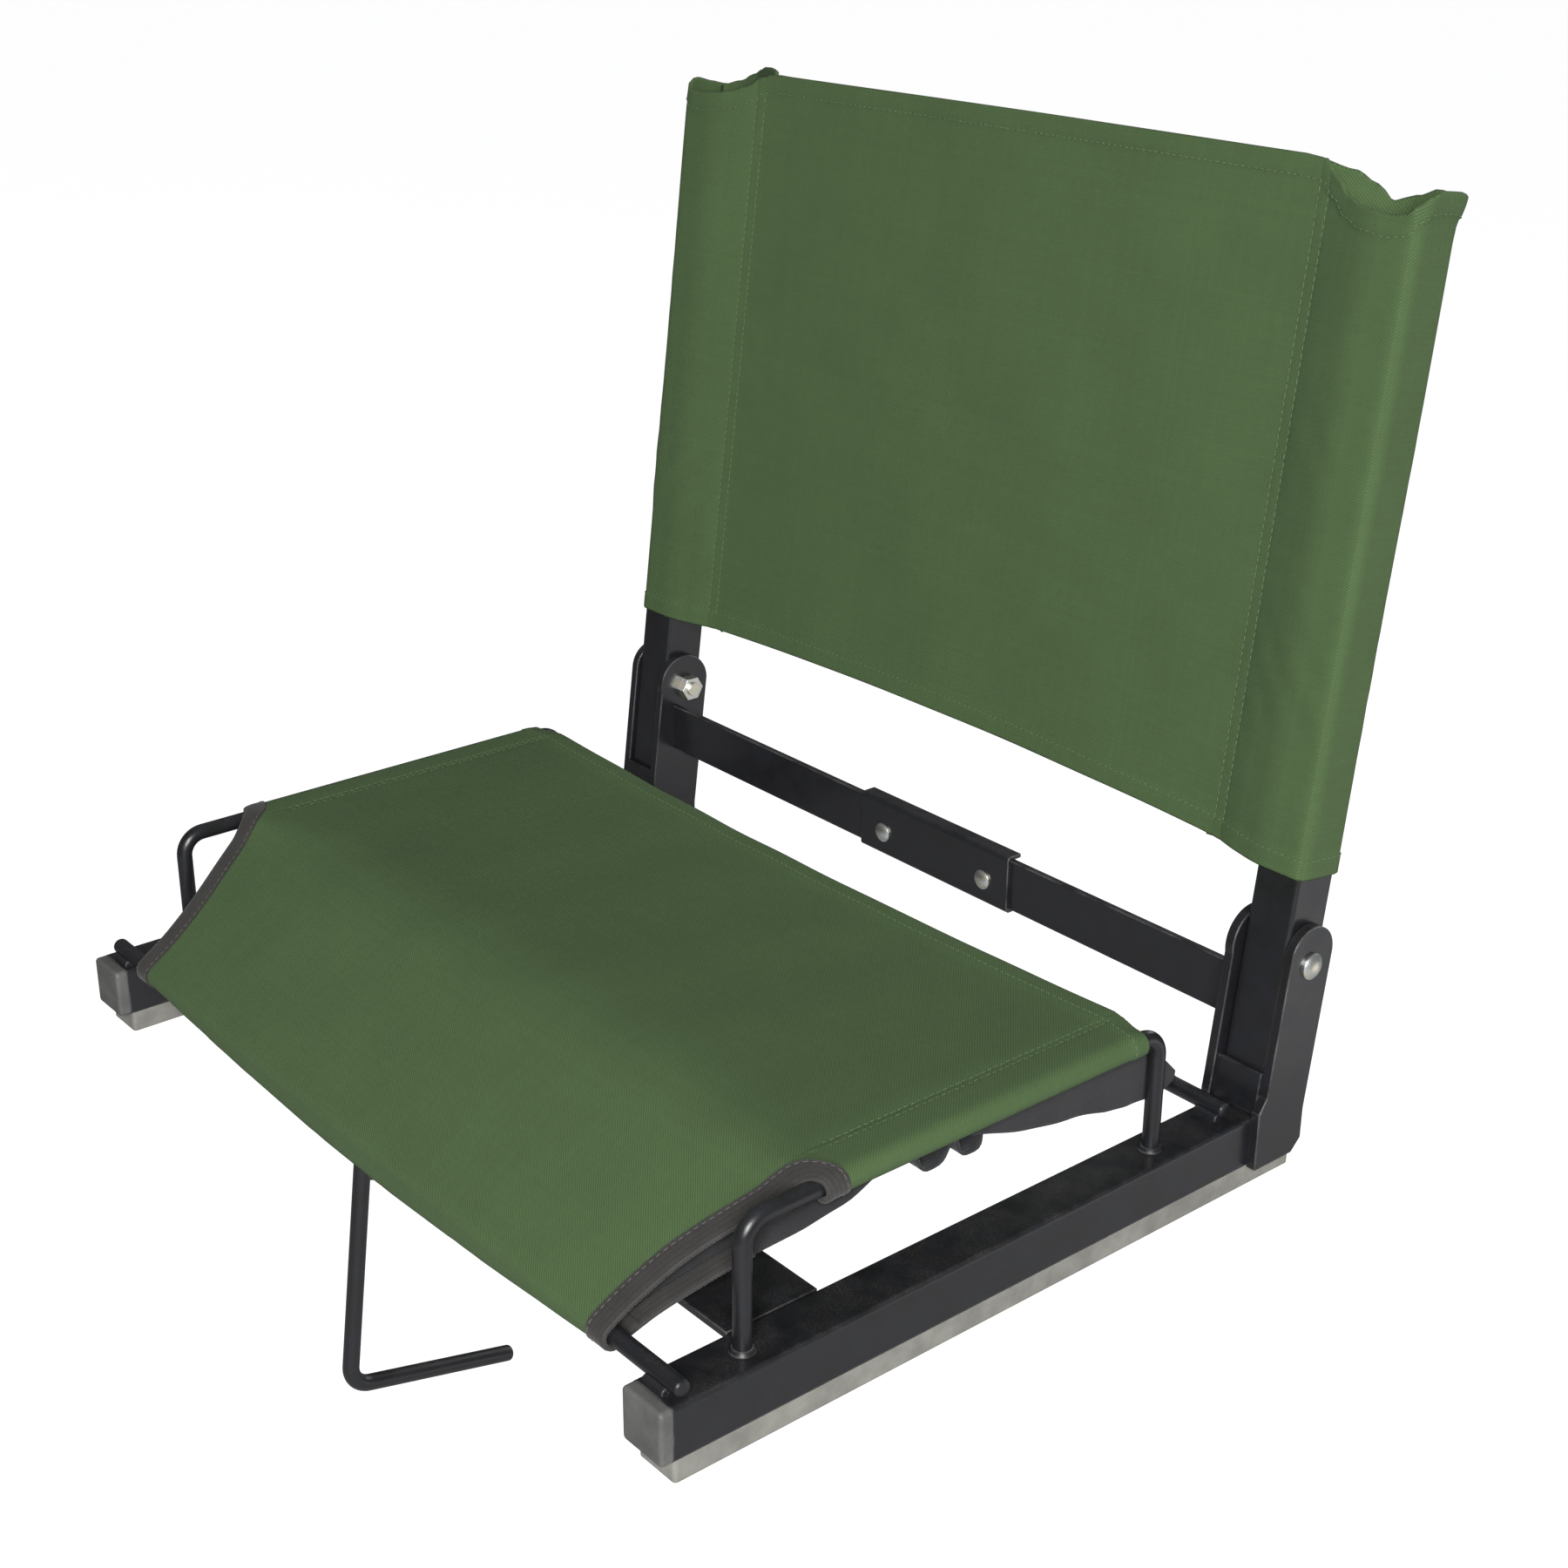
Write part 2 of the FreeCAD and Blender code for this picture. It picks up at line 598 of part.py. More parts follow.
def seat_binding(cloth):
    """Tape on the cut-away edge and round the mouth of the sleeve."""
    tape = edge_tape(front_ribbon(CLOTH + 2 * BINDING_THICK), SEAT_MOUTH - 0.3, BINDING_WIDTH).cut(cloth)
    bends = [SLEEVE_R - 0.1, SLEEVE_R - 0.1, 5.0]
    path = [(SLEEVE_STITCH_X + 4, WIRE_Z + SLEEVE_R)] + sleeve_path()[:3]
    lift = (CLOTH + BINDING_THICK) / 2 + 0.02
    band = ribbon(side_line(path, lift)[:3] + [(RAIL_X - 3, WIRE_Z - SLEEVE_R - lift)],
                  [SLEEVE_R - 0.1 + lift] * 2, BINDING_THICK, in_xz(SEAT_MOUTH), V(0, MOUTH_BAND, 0))
    return Part.makeCompound([max(tape.Solids, key=lambda solid: solid.Volume), band])


# Cloth and webbing below the seat
def under_ribbon(thick):
    points, slope = front_profile(0.0)
    nose, low = points[3]
    back = ROD_Z - low + 3.0
    drop = CLOTH + UNDER_GAP
    start = (nose + back * math.cos(slope) + drop * math.sin(slope),
             low + back * math.sin(slope) - drop * math.cos(slope))
    bend = (UNDER_LEVEL_Y, start[1] + (UNDER_LEVEL_Y - start[0]) * math.tan(slope))
    return ribbon([start, bend, (UNDER_REAR, bend[1] + 3.0)], [30.0], thick, in_yz(-250), V(500, 0, 0))


def under_panel():
    """Lower layer behind the front rod, below the slope of the seat."""
    edge = scallop(0.0, UNDER_SIDE_HALF, UNDER_SCALLOP_REAR)
    return under_ribbon(CLOTH).common(edge).cut(hook_notch(-152.0))


def under_binding(cloth):
    layer = under_ribbon(CLOTH + 2 * BINDING_THICK)
    curve = (UNDER_SIDE_HALF, UNDER_SCALLOP_REAR)
    tape = edge_tape(layer, UNDER_REAR - 0.5, UNDER_BINDING, *curve).cut(cloth)
    return max(tape.Solids, key=lambda solid: solid.Volume)


def side_flap():
    """Loose skirt of cloth that hangs below the seat wire towards the back."""
    top = WIRE_Z - SLEEVE_R - CLOTH / 2 - 0.15
    outline = [(FLAP_FRONT - 8, top), (SEAT_REAR + 2, top)] + FLAP_TAIL
    outline += [(50, 66.5), (15, 74), (FLAP_FRONT, FLAP_FRONT_Z)]
    return plate_yz(outline, FLAP_X - CLOTH, FLAP_X)


def under_strap():
    """Webbing across the underside that pulls the two sides of the seat together."""
    path = [(-SLEEVE_STITCH_X - 10, 87.5), (-205.0, STRAP_Z), (BUCKLE_X, STRAP_Z)]
    return ribbon(path, [12.0], STRAP_THICK, in_xz(STRAP_FRONT), V(0, STRAP_WIDTH, 0))


def strap_buckle():
    """Ladder buckle: a flat frame with a bar between its two slots."""
    low = STRAP_Z - 1.8
    rear = STRAP_FRONT + STRAP_WIDTH
    frame = box(BUCKLE_X + 0.4, BUCKLE_X + 32, STRAP_FRONT - 4, rear + 4, low, low + 4.2)
    frame = rounded(frame, Z_AXIS, 3.0)
    near = box(BUCKLE_X + 4, BUCKLE_X + 13, STRAP_FRONT, rear, low - 1, low + 6)
    far = box(BUCKLE_X + 18, BUCKLE_X + 28, STRAP_FRONT, rear, low - 1, low + 6)
    return frame.cut(near).cut(far)


def strap_tail():
    """Free end of the webbing, hanging in two loops beside the buckle."""
    path = [(-44.0, 88.0), (-36.0, 71.5), (-25.0, 73.0), (-18.5, 84.0), (-14.0, 71.5), (-3.0, 71.5),
            (-2.0, 88.0)]
    return ribbon(path, [6.0, 6.0, 2.0, 5.0, 4.0], STRAP_THICK, in_yz(TAIL_X), V(TAIL_WIDTH, 0, 0))


# Bench hook and its hanger
def hook_path():
    """Start of the leg beside the eye, the elbow and the tip."""
    lean = math.radians(HOOK_LEG_LEAN)
    drop = math.radians(HOOK_FOOT_DROP)
    ring = HOOK_PIN_R + HOOK_EYE_GAP + ROD_R
    start = V(0, HOOK_PIN_Y - ring * math.cos(lean), HOOK_PIN_Z + ring * math.sin(lean))
    elbow = start + V(0, -math.sin(lean), -math.cos(lean)) * HOOK_LEG
    tip = elbow + V(0, math.cos(drop), -math.sin(drop)) * HOOK_FOOT
    return start, elbow, tip


def bench_hook():
    start, elbow, tip = hook_path()
    rod = rod_along([start, elbow, tip], ROD_R, HOOK_BEND)
    end = [edge for edge in rod.Edges if (edge.CenterOfMass - tip).Length < 0.5]
    rod = rod.makeFillet(2.0, end[:1])
    ring = HOOK_PIN_R + HOOK_EYE_GAP + ROD_R
    eye = Part.makeTorus(ring, ROD_R, V(0, HOOK_PIN_Y, HOOK_PIN_Z), X_AXIS)
    return rod.fuse(eye).removeSplitter()


def hook_hanger():
    """Two ears welded below and behind the front rod that carry the hook's pin."""
    outline = [(FRONT_ROD_Y + 0.2, ROD_Z - 3.6), (FRONT_ROD_Y + 3.0, ROD_Z), (FRONT_ROD_Y + 7.0, ROD_Z),
               (HOOK_PIN_Y + 4.6, HOOK_PIN_Z + 2.4), (HOOK_PIN_Y - 4.6, HOOK_PIN_Z - 2.4)]
    ears = []
    for side in (-1, 1):
        near = side * (ROD_R + EAR_GAP)
        x0, x1 = sorted((near, near + side * EAR_THICK))
        foot = cylinder_x(x0, x1, EAR_FOOT_R, HOOK_PIN_Y, HOOK_PIN_Z)
        ear = plate_yz(outline, x0, x1).fuse(foot).removeSplitter()
        ear = ear.cut(cylinder_x(x0 - 1, x1 + 1, ROD_R + 0.03, FRONT_ROD_Y, ROD_Z))
        ears.append(ear.cut(cylinder_x(x0 - 1, x1 + 1, HOOK_PIN_R + 0.03, HOOK_PIN_Y, HOOK_PIN_Z)))
    return ears


def hook_pin():
    reach = ROD_R + EAR_GAP + EAR_THICK
    pin = cylinder_x(-reach, reach, HOOK_PIN_R, HOOK_PIN_Y, HOOK_PIN_Z)
    heads = [dome(4.6, 1.8, V(side * reach, HOOK_PIN_Y, HOOK_PIN_Z), V(side, 0, 0)) for side in (-1, 1)]
    return pin.fuse(heads).removeSplitter()


def weld_beads():
    """Small collars of weld where the wires and the rods meet the rails."""
    beads = []
    for y in (WIRE_FRONT, WIRE_REAR):
        collar = Part.makeCone(ROD_R + 2.0, ROD_R + 0.3, 2.0, V(RAIL_X, y, RAIL_TOP), Z_AXIS)
        hole = Part.makeCylinder(ROD_R + 0.04, 5, V(RAIL_X, y, RAIL_TOP - 1), Z_AXIS)
        beads.append(collar.cut(hole))
    for y in (FRONT_ROD_Y, REAR_ROD_Y):
        rod = cylinder_x(200, 260, ROD_R + 0.04, y, ROD_Z)
        for side in (-1, 1):
            bead = rounded(box(RAIL_X - 9, RAIL_X + 4, y + min(0, side * 6.2), y + max(0, side * 6.2),
                               RAIL_TOP, RAIL_TOP + 3.0), X_AXIS, 2.2,
                           lambda point, side=side, y=y: point.z > RAIL_TOP + 2 and abs(point.y - y) > 4)
            beads.append(bead.cut(rod))
    return [solid for bead in beads for solid in bead.Solids]


def both_sides(parts, name, shape):
    parts[name + "_right"] = shape
    parts[name + "_left"] = mirrored(shape)


def build():
    parts = {}
    both_sides(parts, "rail", rail())
    both_sides(parts, "front_cap", rail_plug(CAP_FACE, RAIL_FRONT, -1))
    both_sides(parts, "rear_plug", rail_plug(REAR_PLUG_FACE, RAIL_REAR, 1))
    both_sides(parts, "grip_strip", grip_strip())
    parts["front_cross_rod"] = cross_rod(FRONT_ROD_Y, FRONT_ROD_HALF)
    parts["rear_cross_rod"] = cross_rod(REAR_ROD_Y, REAR_ROD_HALF)
    parts["cross_plate"] = cross_plate()
    both_sides(parts, "seat_wire", seat_wire())
    both_sides(parts, "bracket_outer", bracket_plate(RAIL_OUT))
    both_sides(parts, "bracket_inner", bracket_plate(RAIL_IN - SIDE_PLATE, INNER_ARM_FRONT))
    both_sides(parts, "back_stop", back_stop())
    both_sides(parts, "pivot_bolt", pivot_bolt())
    both_sides(parts, "pivot_nut", pivot_nut())
    parts["back_crossbar_left"] = crossbar_half(-1)
    parts["back_crossbar_right"] = crossbar_half(1)
    parts["splice_channel"] = splice_channel()
    parts["splice_rivets"] = Part.makeCompound(splice_rivets())
    both_sides(parts, "back_tube", back_tube())
    both_sides(parts, "tube_top_plug", back_plug(BACK_HEAD, 1))
    both_sides(parts, "tube_foot_plug", back_plug(BACK_FOOT, -1))
    bushes = pivot_bushes()
    both_sides(parts, "pivot_bushes", Part.makeCompound(bushes))
    parts["back_canvas"] = back_canvas()
    canvas = seat_canvas()
    parts["seat_canvas"] = canvas
    both_sides(parts, "seat_binding", seat_binding(canvas))
    panel = under_panel()
    parts["under_panel"] = panel
    both_sides(parts, "under_binding", under_binding(panel))
    both_sides(parts, "side_flap", side_flap())
    parts["under_strap"] = under_strap()
    parts["strap_buckle"] = strap_buckle()
    parts["strap_tail"] = strap_tail()
    parts["bench_hook"] = bench_hook()
    parts["hook_hanger"] = Part.makeCompound(hook_hanger())
    parts["hook_pin"] = hook_pin()
    beads = weld_beads()
    parts["weld_beads"] = Part.makeCompound(beads + [mirrored(bead) for bead in beads])
    return parts


os.makedirs("parts", exist_ok=True)
for node, shape in build().items():
    solids = shape.Solids
    if not solids or not all(solid.isValid() and solid.isClosed() for solid in solids):
        raise ValueError("bad solid in " + node)
    print(node, len(solids), round(shape.Volume))
    shape.exportStep("parts/" + node + ".step")
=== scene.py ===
import json
import math

import bpy
import numpy as np
from bpy.props import FloatProperty, FloatVectorProperty, PointerProperty
from mathutils import Matrix, Vector


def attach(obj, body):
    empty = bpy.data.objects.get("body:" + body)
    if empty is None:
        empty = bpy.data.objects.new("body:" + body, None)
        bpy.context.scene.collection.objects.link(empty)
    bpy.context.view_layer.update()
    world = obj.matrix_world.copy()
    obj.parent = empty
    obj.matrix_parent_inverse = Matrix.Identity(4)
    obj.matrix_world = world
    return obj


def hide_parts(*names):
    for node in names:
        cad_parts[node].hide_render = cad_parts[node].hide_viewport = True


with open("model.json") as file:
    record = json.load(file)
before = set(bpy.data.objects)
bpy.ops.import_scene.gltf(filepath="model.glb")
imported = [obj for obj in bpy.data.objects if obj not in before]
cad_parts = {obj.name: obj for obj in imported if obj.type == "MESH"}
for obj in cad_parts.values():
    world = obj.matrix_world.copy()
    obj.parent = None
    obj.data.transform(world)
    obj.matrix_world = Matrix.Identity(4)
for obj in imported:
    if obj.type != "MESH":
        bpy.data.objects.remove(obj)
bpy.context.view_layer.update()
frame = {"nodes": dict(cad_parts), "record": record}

bl_info = {
    "name": "Folding stadium seat",
    "version": (1, 0, 0),
    "blender": (4, 5, 0),
    "location": "3D View > Sidebar > Stadium seat",
    "description": "Cloth, webbing, stitching, finishes and studio for the folding stadium seat",
    "category": "Object",
}

MM = 0.001

# Sizes of the metal frame that the cloth goes round, in millimetres
RAIL_X = 232.3
PIVOT_Y = 177.0
PIVOT_Z = 109.0
RECLINE = math.radians(7.2)
TUBE_HALF_WIDE = 12.2
TUBE_HALF_DEEP = 12.7
WIRE_Z = 95.5
ROD_Y = -177.5
ROD_Z = 40.4

# Back canvas, along the back tubes from the pivot
BACK_FOOT = 42.5
BACK_HEAD = 352.0
BACK_SLACK = 1.0
BACK_PANEL_X = 189.0
BACK_PANEL_T = -5.0
BACK_ARCH = 5.5
BACK_SEAMS = (187.0, 193.0)
TUBE_END = 331.0

# How far the back's hem stitches reach to each side, on the front and on the rear face
BACK_HEM_REACH = 294.0
BACK_REAR_REACH = 176.0

# Seat canvas. The flat cloth is measured across from the middle and down from the rear hem.
SEAT_REAR = 86.0
SEAT_TOP = 101.05
SLOPE_START = -98.0
SLOPE_BEND = 30.0
SOFT_BEND = 76.0
SLEEVE_R = 5.55
SEAT_SEAMS = (215.5, 218.5)
SHEET_SIDE = 227.5
MOUTH_Y = -101.0
POCKET_R = 5.6
NOTCH_HALF = 13.0
DROOP_HALF = 190.0
LEVEL_END_Y = -90.0
TRIM_FADE = 70.0

# How far the rear hem's stitches reach to each side, on the upper (1) and the lower (-1) face
SEAT_HEM_REACH = {1: 246.0, -1: 205.0}

# Least half thickness of the canvas, and a distance from its edge that is well past any hem
THINNEST = 0.2
CLEAR_OF_HEM = 50.0

# Cut-away front edges as (across, front to back), outside the tape
EDGE_RIGHT = [(197.3, -184.0), (197.6, -176.0), (199.2, -166.0), (203.2, -151.0), (208.2, -140.0),
              (213.8, -130.0), (219.3, -120.0), (223.6, -113.0), (227.5, -107.0)]
EDGE_LEFT = [(208.3, -184.0), (208.3, -176.0), (208.8, -166.0), (211.8, -151.0), (215.6, -140.0),
             (219.4, -130.0), (222.9, -120.0), (225.2, -113.0), (227.5, -107.0)]
EDGE_MOUTH = [(231.5, -103.6), (237.0, -101.7), (243.0, -101.0), (262.0, -101.0)]

# Lower layer: side view, its two cut edges and its tape
UNDER_SIDE = 234.0
UNDER_NOTCH_Y = -152.0
UNDER_TAPE_WIDTH = 8.0
UNDER_TAPE_END_Y = -124.0
UNDER_PATH = [(-171.5, 36.6), (-100.0, 83.0), (-74.0, 86.5)]
UNDER_RIGHT = [(196.4, -172.0), (200.0, -160.0), (204.6, -150.0), (210.8, -138.0), (217.4, -127.0),
               (224.8, -116.0), (231.0, -107.0), (234.0, -99.0), (234.6, -88.0), (233.0, -74.0)]
UNDER_LEFT = [(207.0, -172.0), (209.0, -160.0), (212.0, -150.0), (216.6, -138.0), (221.4, -127.0),
              (226.8, -116.0), (231.4, -107.0), (234.0, -99.0), (234.6, -88.0), (233.0, -74.0)]

# Side skirts, seen from the side
FLAP_X = 226.0
FLAP_X_MOST = 227.3
FLAP_TOP = [(-14.0, 89.3), (88.0, 89.3), (99.0, 84.0), (107.0, 75.5), (116.0, 66.0)]
FLAP_FOOT = [(-10.0, 80.5), (15.0, 74.0), (50.0, 66.5), (103.5, 57.5), (112.0, 59.0), (116.6, 62.6)]

# Straps: name, corners, radii at the corners, axis of the width, its two ends, held, resting place, nodes
STRAPS = (
    ("seat_strap", [(-224.0, 88.4), (-206.0, 83.2), (-20.0, 80.8), (160.0, 83.6), (168.0, 87.0),
                    (177.5, 87.2), (180.5, 80.4)],
     [14, 400, 20, 5, 2.0], "y", (-7.0, 18.0), "stretched", "strap_buckle", ["under_strap"]),
    ("buckle_strap", [(193.5, 80.8), (196.5, 87.0), (205.5, 87.2), (228.0, 88.6)],
     [2.0, 3.0], "y", (-0.6, 17.6), "stretched", "strap_buckle", []),
    ("strap_loops", [(-44.0, 88.4), (-37.0, 71.5), (-26.0, 72.0), (-18.8, 84.0), (-15.0, 71.0),
                     (-3.6, 70.6), (-2.4, 88.2)],
     [6.0, 6.5, 2.2, 5.0, 4.0], "x", (205.0, 223.0), "hung", "seat_cloth", ["strap_tail"]),
)

# Lights in metres: name, setting for the power, size, place, what it shines at
LIGHTS = (
    ("key_light", "key", 1.05, (1.685, -1.317, 1.09), (0.0, 0.0, 0.1)),
    ("spark_light", "spark", 0.16, (1.55, -1.55, 1.45), (0.0, 0.0, 0.1)),
    ("rear_light", "rear", 1.4, (-0.20, 2.60, 1.30), (0.0, 0.2, 0.1)),
    ("side_light", "side", 0.7, (1.02, 0.76, -0.30), (0.24, 0.0, 0.02)),
)
FLOOR_RADIUS = 26.0
FLOOR_CORNERS = 96

# Camera fitted to the straight edges of the frame in the photograph, in metres
CAMERA_RIGHT = (0.639575, 0.768715, 0.004499)
CAMERA_UP = (-0.302892, 0.246621, 0.920562)
CAMERA_BACK = (0.706541, -0.590131, 0.390570)
CAMERA_PLACE = (0.841350, -0.629751, 0.609636)

RIGHT, LEFT = 1, -1
CLOTH_UV = "cloth"


# Sizes and colours that a user may change
def length_property(name, description, default):
    return FloatProperty(name=name, description=description, default=default, unit="LENGTH", precision=5)


def power_property(name, description, default):
    return FloatProperty(name=name, description=description, default=default, unit="POWER")


def colour_property(name, description, default):
    return FloatVectorProperty(name=name, description=description, default=default, subtype="COLOR",
                               size=3, min=0.0, max=1.0)


class SeatSizes(bpy.types.PropertyGroup):
    cloth: length_property("Cloth thickness", "Thickness of the woven canvas", 0.0009)
    hem: length_property("Hem thickness", "Thickness of the folded hems", 0.0019)
    hem_width: length_property("Hem width", "Distance of the hem stitches from the edge", 0.0085)
    tape: length_property("Tape thickness", "Thickness of the edge tape", 0.0007)
    tape_width: length_property("Tape width", "Width of the folded tape on each face", 0.0105)
    webbing: length_property("Webbing thickness", "Thickness of the strap webbing", 0.0015)
    sag: length_property("Seat sag", "Sag of the seat's rear edge in its middle", 0.0052)
    bow: length_property("Back bow", "How far the back panel bows to the rear", 0.002)
    stitch: length_property("Stitch length", "Length of one visible stitch", 0.0029)
    stitch_pitch: length_property("Stitch pitch", "Distance from one stitch to the next", 0.0037)
    thread: length_property("Thread radius", "Radius of the sewing thread", 0.0003)


class SeatFinishes(bpy.types.PropertyGroup):
    canvas: colour_property("Canvas", "Green of the seat and back canvas", (0.083, 0.137, 0.056))
    canvas_thread: colour_property("Canvas thread", "Sewing thread of the canvas", (0.102, 0.158, 0.074))
    tape: colour_property("Edge tape", "Warm dark grey of the ribbed tape", (0.041, 0.039, 0.036))
    tape_thread: colour_property("Tape thread", "Sewing thread of the tape", (0.10, 0.095, 0.085))
    dark_cloth: colour_property("Dark cloth", "Cloth below the seat", (0.040, 0.040, 0.043))
    webbing: colour_property("Webbing", "Strap webbing below the seat", (0.030, 0.031, 0.034))
    steel: colour_property("Powder coat", "Satin black coating of the steel", (0.012, 0.012, 0.013))
    zinc: colour_property("Zinc plate", "Bolts, nuts and rivets", (0.86, 0.85, 0.81))
    caps: colour_property("Rail caps", "Grey plastic of the rail caps", (0.120, 0.120, 0.116))
    plugs: colour_property("Tube plugs", "Plastic in the ends of the back tubes", (0.035, 0.035, 0.037))
    strips: colour_property("Grip strips", "Rubber strips below the rails", (0.255, 0.25, 0.225))
    buckle: colour_property("Buckle", "Black moulded buckle", (0.020, 0.020, 0.021))
    bush: colour_property("Bushes", "Natural nylon pivot bushes", (0.62, 0.61, 0.56))
    weave: length_property("Weave pitch", "Distance between threads of the canvas", 0.00078)


class SeatStage(bpy.types.PropertyGroup):
    floor_drop: length_property("Floor drop", "Height of the seat above the floor", 0.45)
    floor: colour_property("Floor", "Pale studio floor", (0.42, 0.42, 0.42))
    glow: FloatProperty(name="Floor glow", description="How far the camera sees the floor blown out to white",
                        default=0.93, min=0.0)
    lens: FloatProperty(name="Lens", description="Focal length of the camera", default=54.987,
                        unit="CAMERA", precision=3)
    key: power_property("Key light", "Power of the large soft light", 65.0)
    spark: power_property("Spark light", "Power of the small light for highlights", 7.0)
    side: power_property("Side light", "Power of the low light on the right side", 1.2)
    rear: power_property("Rear light", "Power of the soft light behind the backrest", 24.0)
    ambient: FloatProperty(name="Ambient", description="Strength of the even light from all round",
                           default=0.13, min=0.0)


# Small shape helpers. Points are numpy arrays in millimetres until a mesh is made.
def smooth_step(value):
    t = np.clip(value, 0.0, 1.0)
    return t * t * (3.0 - 2.0 * t)


def window(value, start, rise, end, fall):
    """One between two places, with a soft rise after the first and a soft fall before the second."""
    return smooth_step((value - start) / rise) * smooth_step((end - value) / fall)


def hill(value, middle, width):
    return np.exp(-((value - middle) / width) ** 2)


def eased(value, table):
    """Smooth interpolation through a table of (position, value) pairs."""
    xs = np.array([row[0] for row in table])
    ys = np.array([row[1] for row in table])
    value = np.clip(value, xs[0], xs[-1])
    i = np.clip(np.searchsorted(xs, value, side="right") - 1, 0, len(xs) - 2)
    t = smooth_step((value - xs[i]) / (xs[i + 1] - xs[i]))
    return ys[i] + (ys[i + 1] - ys[i]) * t


def stations(stops, step, seams=()):
    """Positions through all stops, no further apart than a step, with close ones at each seam."""
    marks = list(stops)
    for seam in seams:
        marks += [seam - 1.3, seam - 0.6, seam, seam + 0.6, seam + 1.3]
    marks = sorted(set(round(mark, 4) for mark in marks))
    out = [marks[0]]
    for a, b in zip(marks, marks[1:]):
        count = max(1, math.ceil((b - a) / step))
        out += [a + (b - a) * i / count for i in range(1, count + 1)]
    return np.array(out)


def bent_path(corners, radii):
    """Points along straight runs joined by arcs, close together on the arcs."""
    corners = [np.array(corner, float) for corner in corners]
    points = [corners[0]]
    for before, corner, after, radius in zip(corners, corners[1:], corners[2:], radii):
        into = (before - corner) / np.linalg.norm(before - corner)
        out = (after - corner) / np.linalg.norm(after - corner)
        half = math.acos(float(np.clip(into @ out, -1, 1))) / 2
        bisector = (into + out) / np.linalg.norm(into + out)
        centre = corner + bisector * radius / math.sin(half)
        first = corner + into * radius / math.tan(half) - centre
        last = corner + out * radius / math.tan(half) - centre
        turn = math.pi - 2 * half
        count = max(4, math.ceil(math.degrees(turn) / 5))
        for i in range(count + 1):
            t = i / count
            arm = (first * math.sin((1 - t) * turn) + last * math.sin(t * turn)) / math.sin(turn)
            points.append(centre + arm)
    points.append(corners[-1])
    return np.array(points)


def unit(vectors):
    """Vectors along the last axis, each made one long."""
    return vectors / np.linalg.norm(vectors, axis=-1, keepdims=True)


def lengths_of(path):
    return np.concatenate([[0.0], np.cumsum(np.linalg.norm(np.diff(path, axis=0), axis=1))])


def along(path, position):
    """Points at given distances along a path."""
    lengths = lengths_of(path)
    return np.stack([np.interp(position, lengths, path[:, k]) for k in range(path.shape[1])], -1)


def ripple(u, v, waves):
    """Sum of soft waves, each (height, wavelength, direction in degrees, phase)."""
    total = 0.0
    for height, wavelength, direction, phase in waves:
        angle = math.radians(direction)
        total = total + height * np.sin(2 * math.pi * (u * math.cos(angle) + v * math.sin(angle))
                                        / wavelength + phase)
    return total


def grid_faces(ids):
    """Quads between the rows and columns of an array of point numbers."""
    quads = np.stack([ids[:-1, :-1], ids[:-1, 1:], ids[1:, 1:], ids[1:, :-1]], -1)
    return quads.reshape(-1, 4)


def drop_unused(quads, *arrays):
    """Quads numbered anew for the points that they use, and those points' rows of each array."""
    used, numbered = np.unique(quads, return_inverse=True)
    return numbered.reshape(quads.shape), *(array[used] for array in arrays)


def point_normals(points, quads):
    a, b, c, d = (points[quads[:, k]] for k in range(4))
    face = np.cross(c - a, d - b)
    normals = np.zeros_like(points)
    for k in range(4):
        np.add.at(normals, quads[:, k], face)
    return normals / np.maximum(np.linalg.norm(normals, axis=1, keepdims=True), 1e-9)


def thick_skin(points, quads, half, flat):
    """Both faces and a rounded rim round a sheet. Half is half the thickness at each point."""
    count = len(points)
    normals = point_normals(points, quads)
    half = np.broadcast_to(half, (count,))[:, None]
    used = {}
    for quad in quads.tolist():
        for k in range(4):
            used[(quad[k], quad[(k + 1) % 4])] = True
    border = [pair for pair in used if (pair[1], pair[0]) not in used]
    outward = np.zeros_like(points)
    for i, j in border:
        side = np.cross(points[j] - points[i], normals[i] + normals[j])
        side = side / max(np.linalg.norm(side), 1e-9)
        outward[i] += side
        outward[j] += side
    rim_points = sorted({i for pair in border for i in pair})
    rim_ids = {i: 2 * count + k for k, i in enumerate(rim_points)}
    reach = outward[rim_points]
    reach = reach / np.maximum(np.linalg.norm(reach, axis=1, keepdims=True), 1e-9)
    rim = points[rim_points] + reach * half[rim_points]
    verts = np.concatenate([points + normals * half, points - normals * half, rim])
    faces = quads.tolist() + (quads[:, ::-1] + count).tolist()
    for i, j in border:
        faces.append([j, i, rim_ids[i], rim_ids[j]])
        faces.append([rim_ids[j], rim_ids[i], i + count, j + count])
    uv = np.concatenate([flat, flat, flat[rim_points]])
    return verts, faces, uv


def flat_size(flat, quads):
    """Width, length and area in metres of the cloth before it is hung."""
    a, b, c, d = (flat[quads[:, k]] for k in range(4))
    area = 0.5 * np.abs((c - a)[:, 0] * (d - b)[:, 1] - (c - a)[:, 1] * (d - b)[:, 0]).sum()
    extent = flat.max(axis=0) - flat.min(axis=0)
    return (float(extent[0]) * MM, float(extent[1]) * MM), float(area) * MM * MM


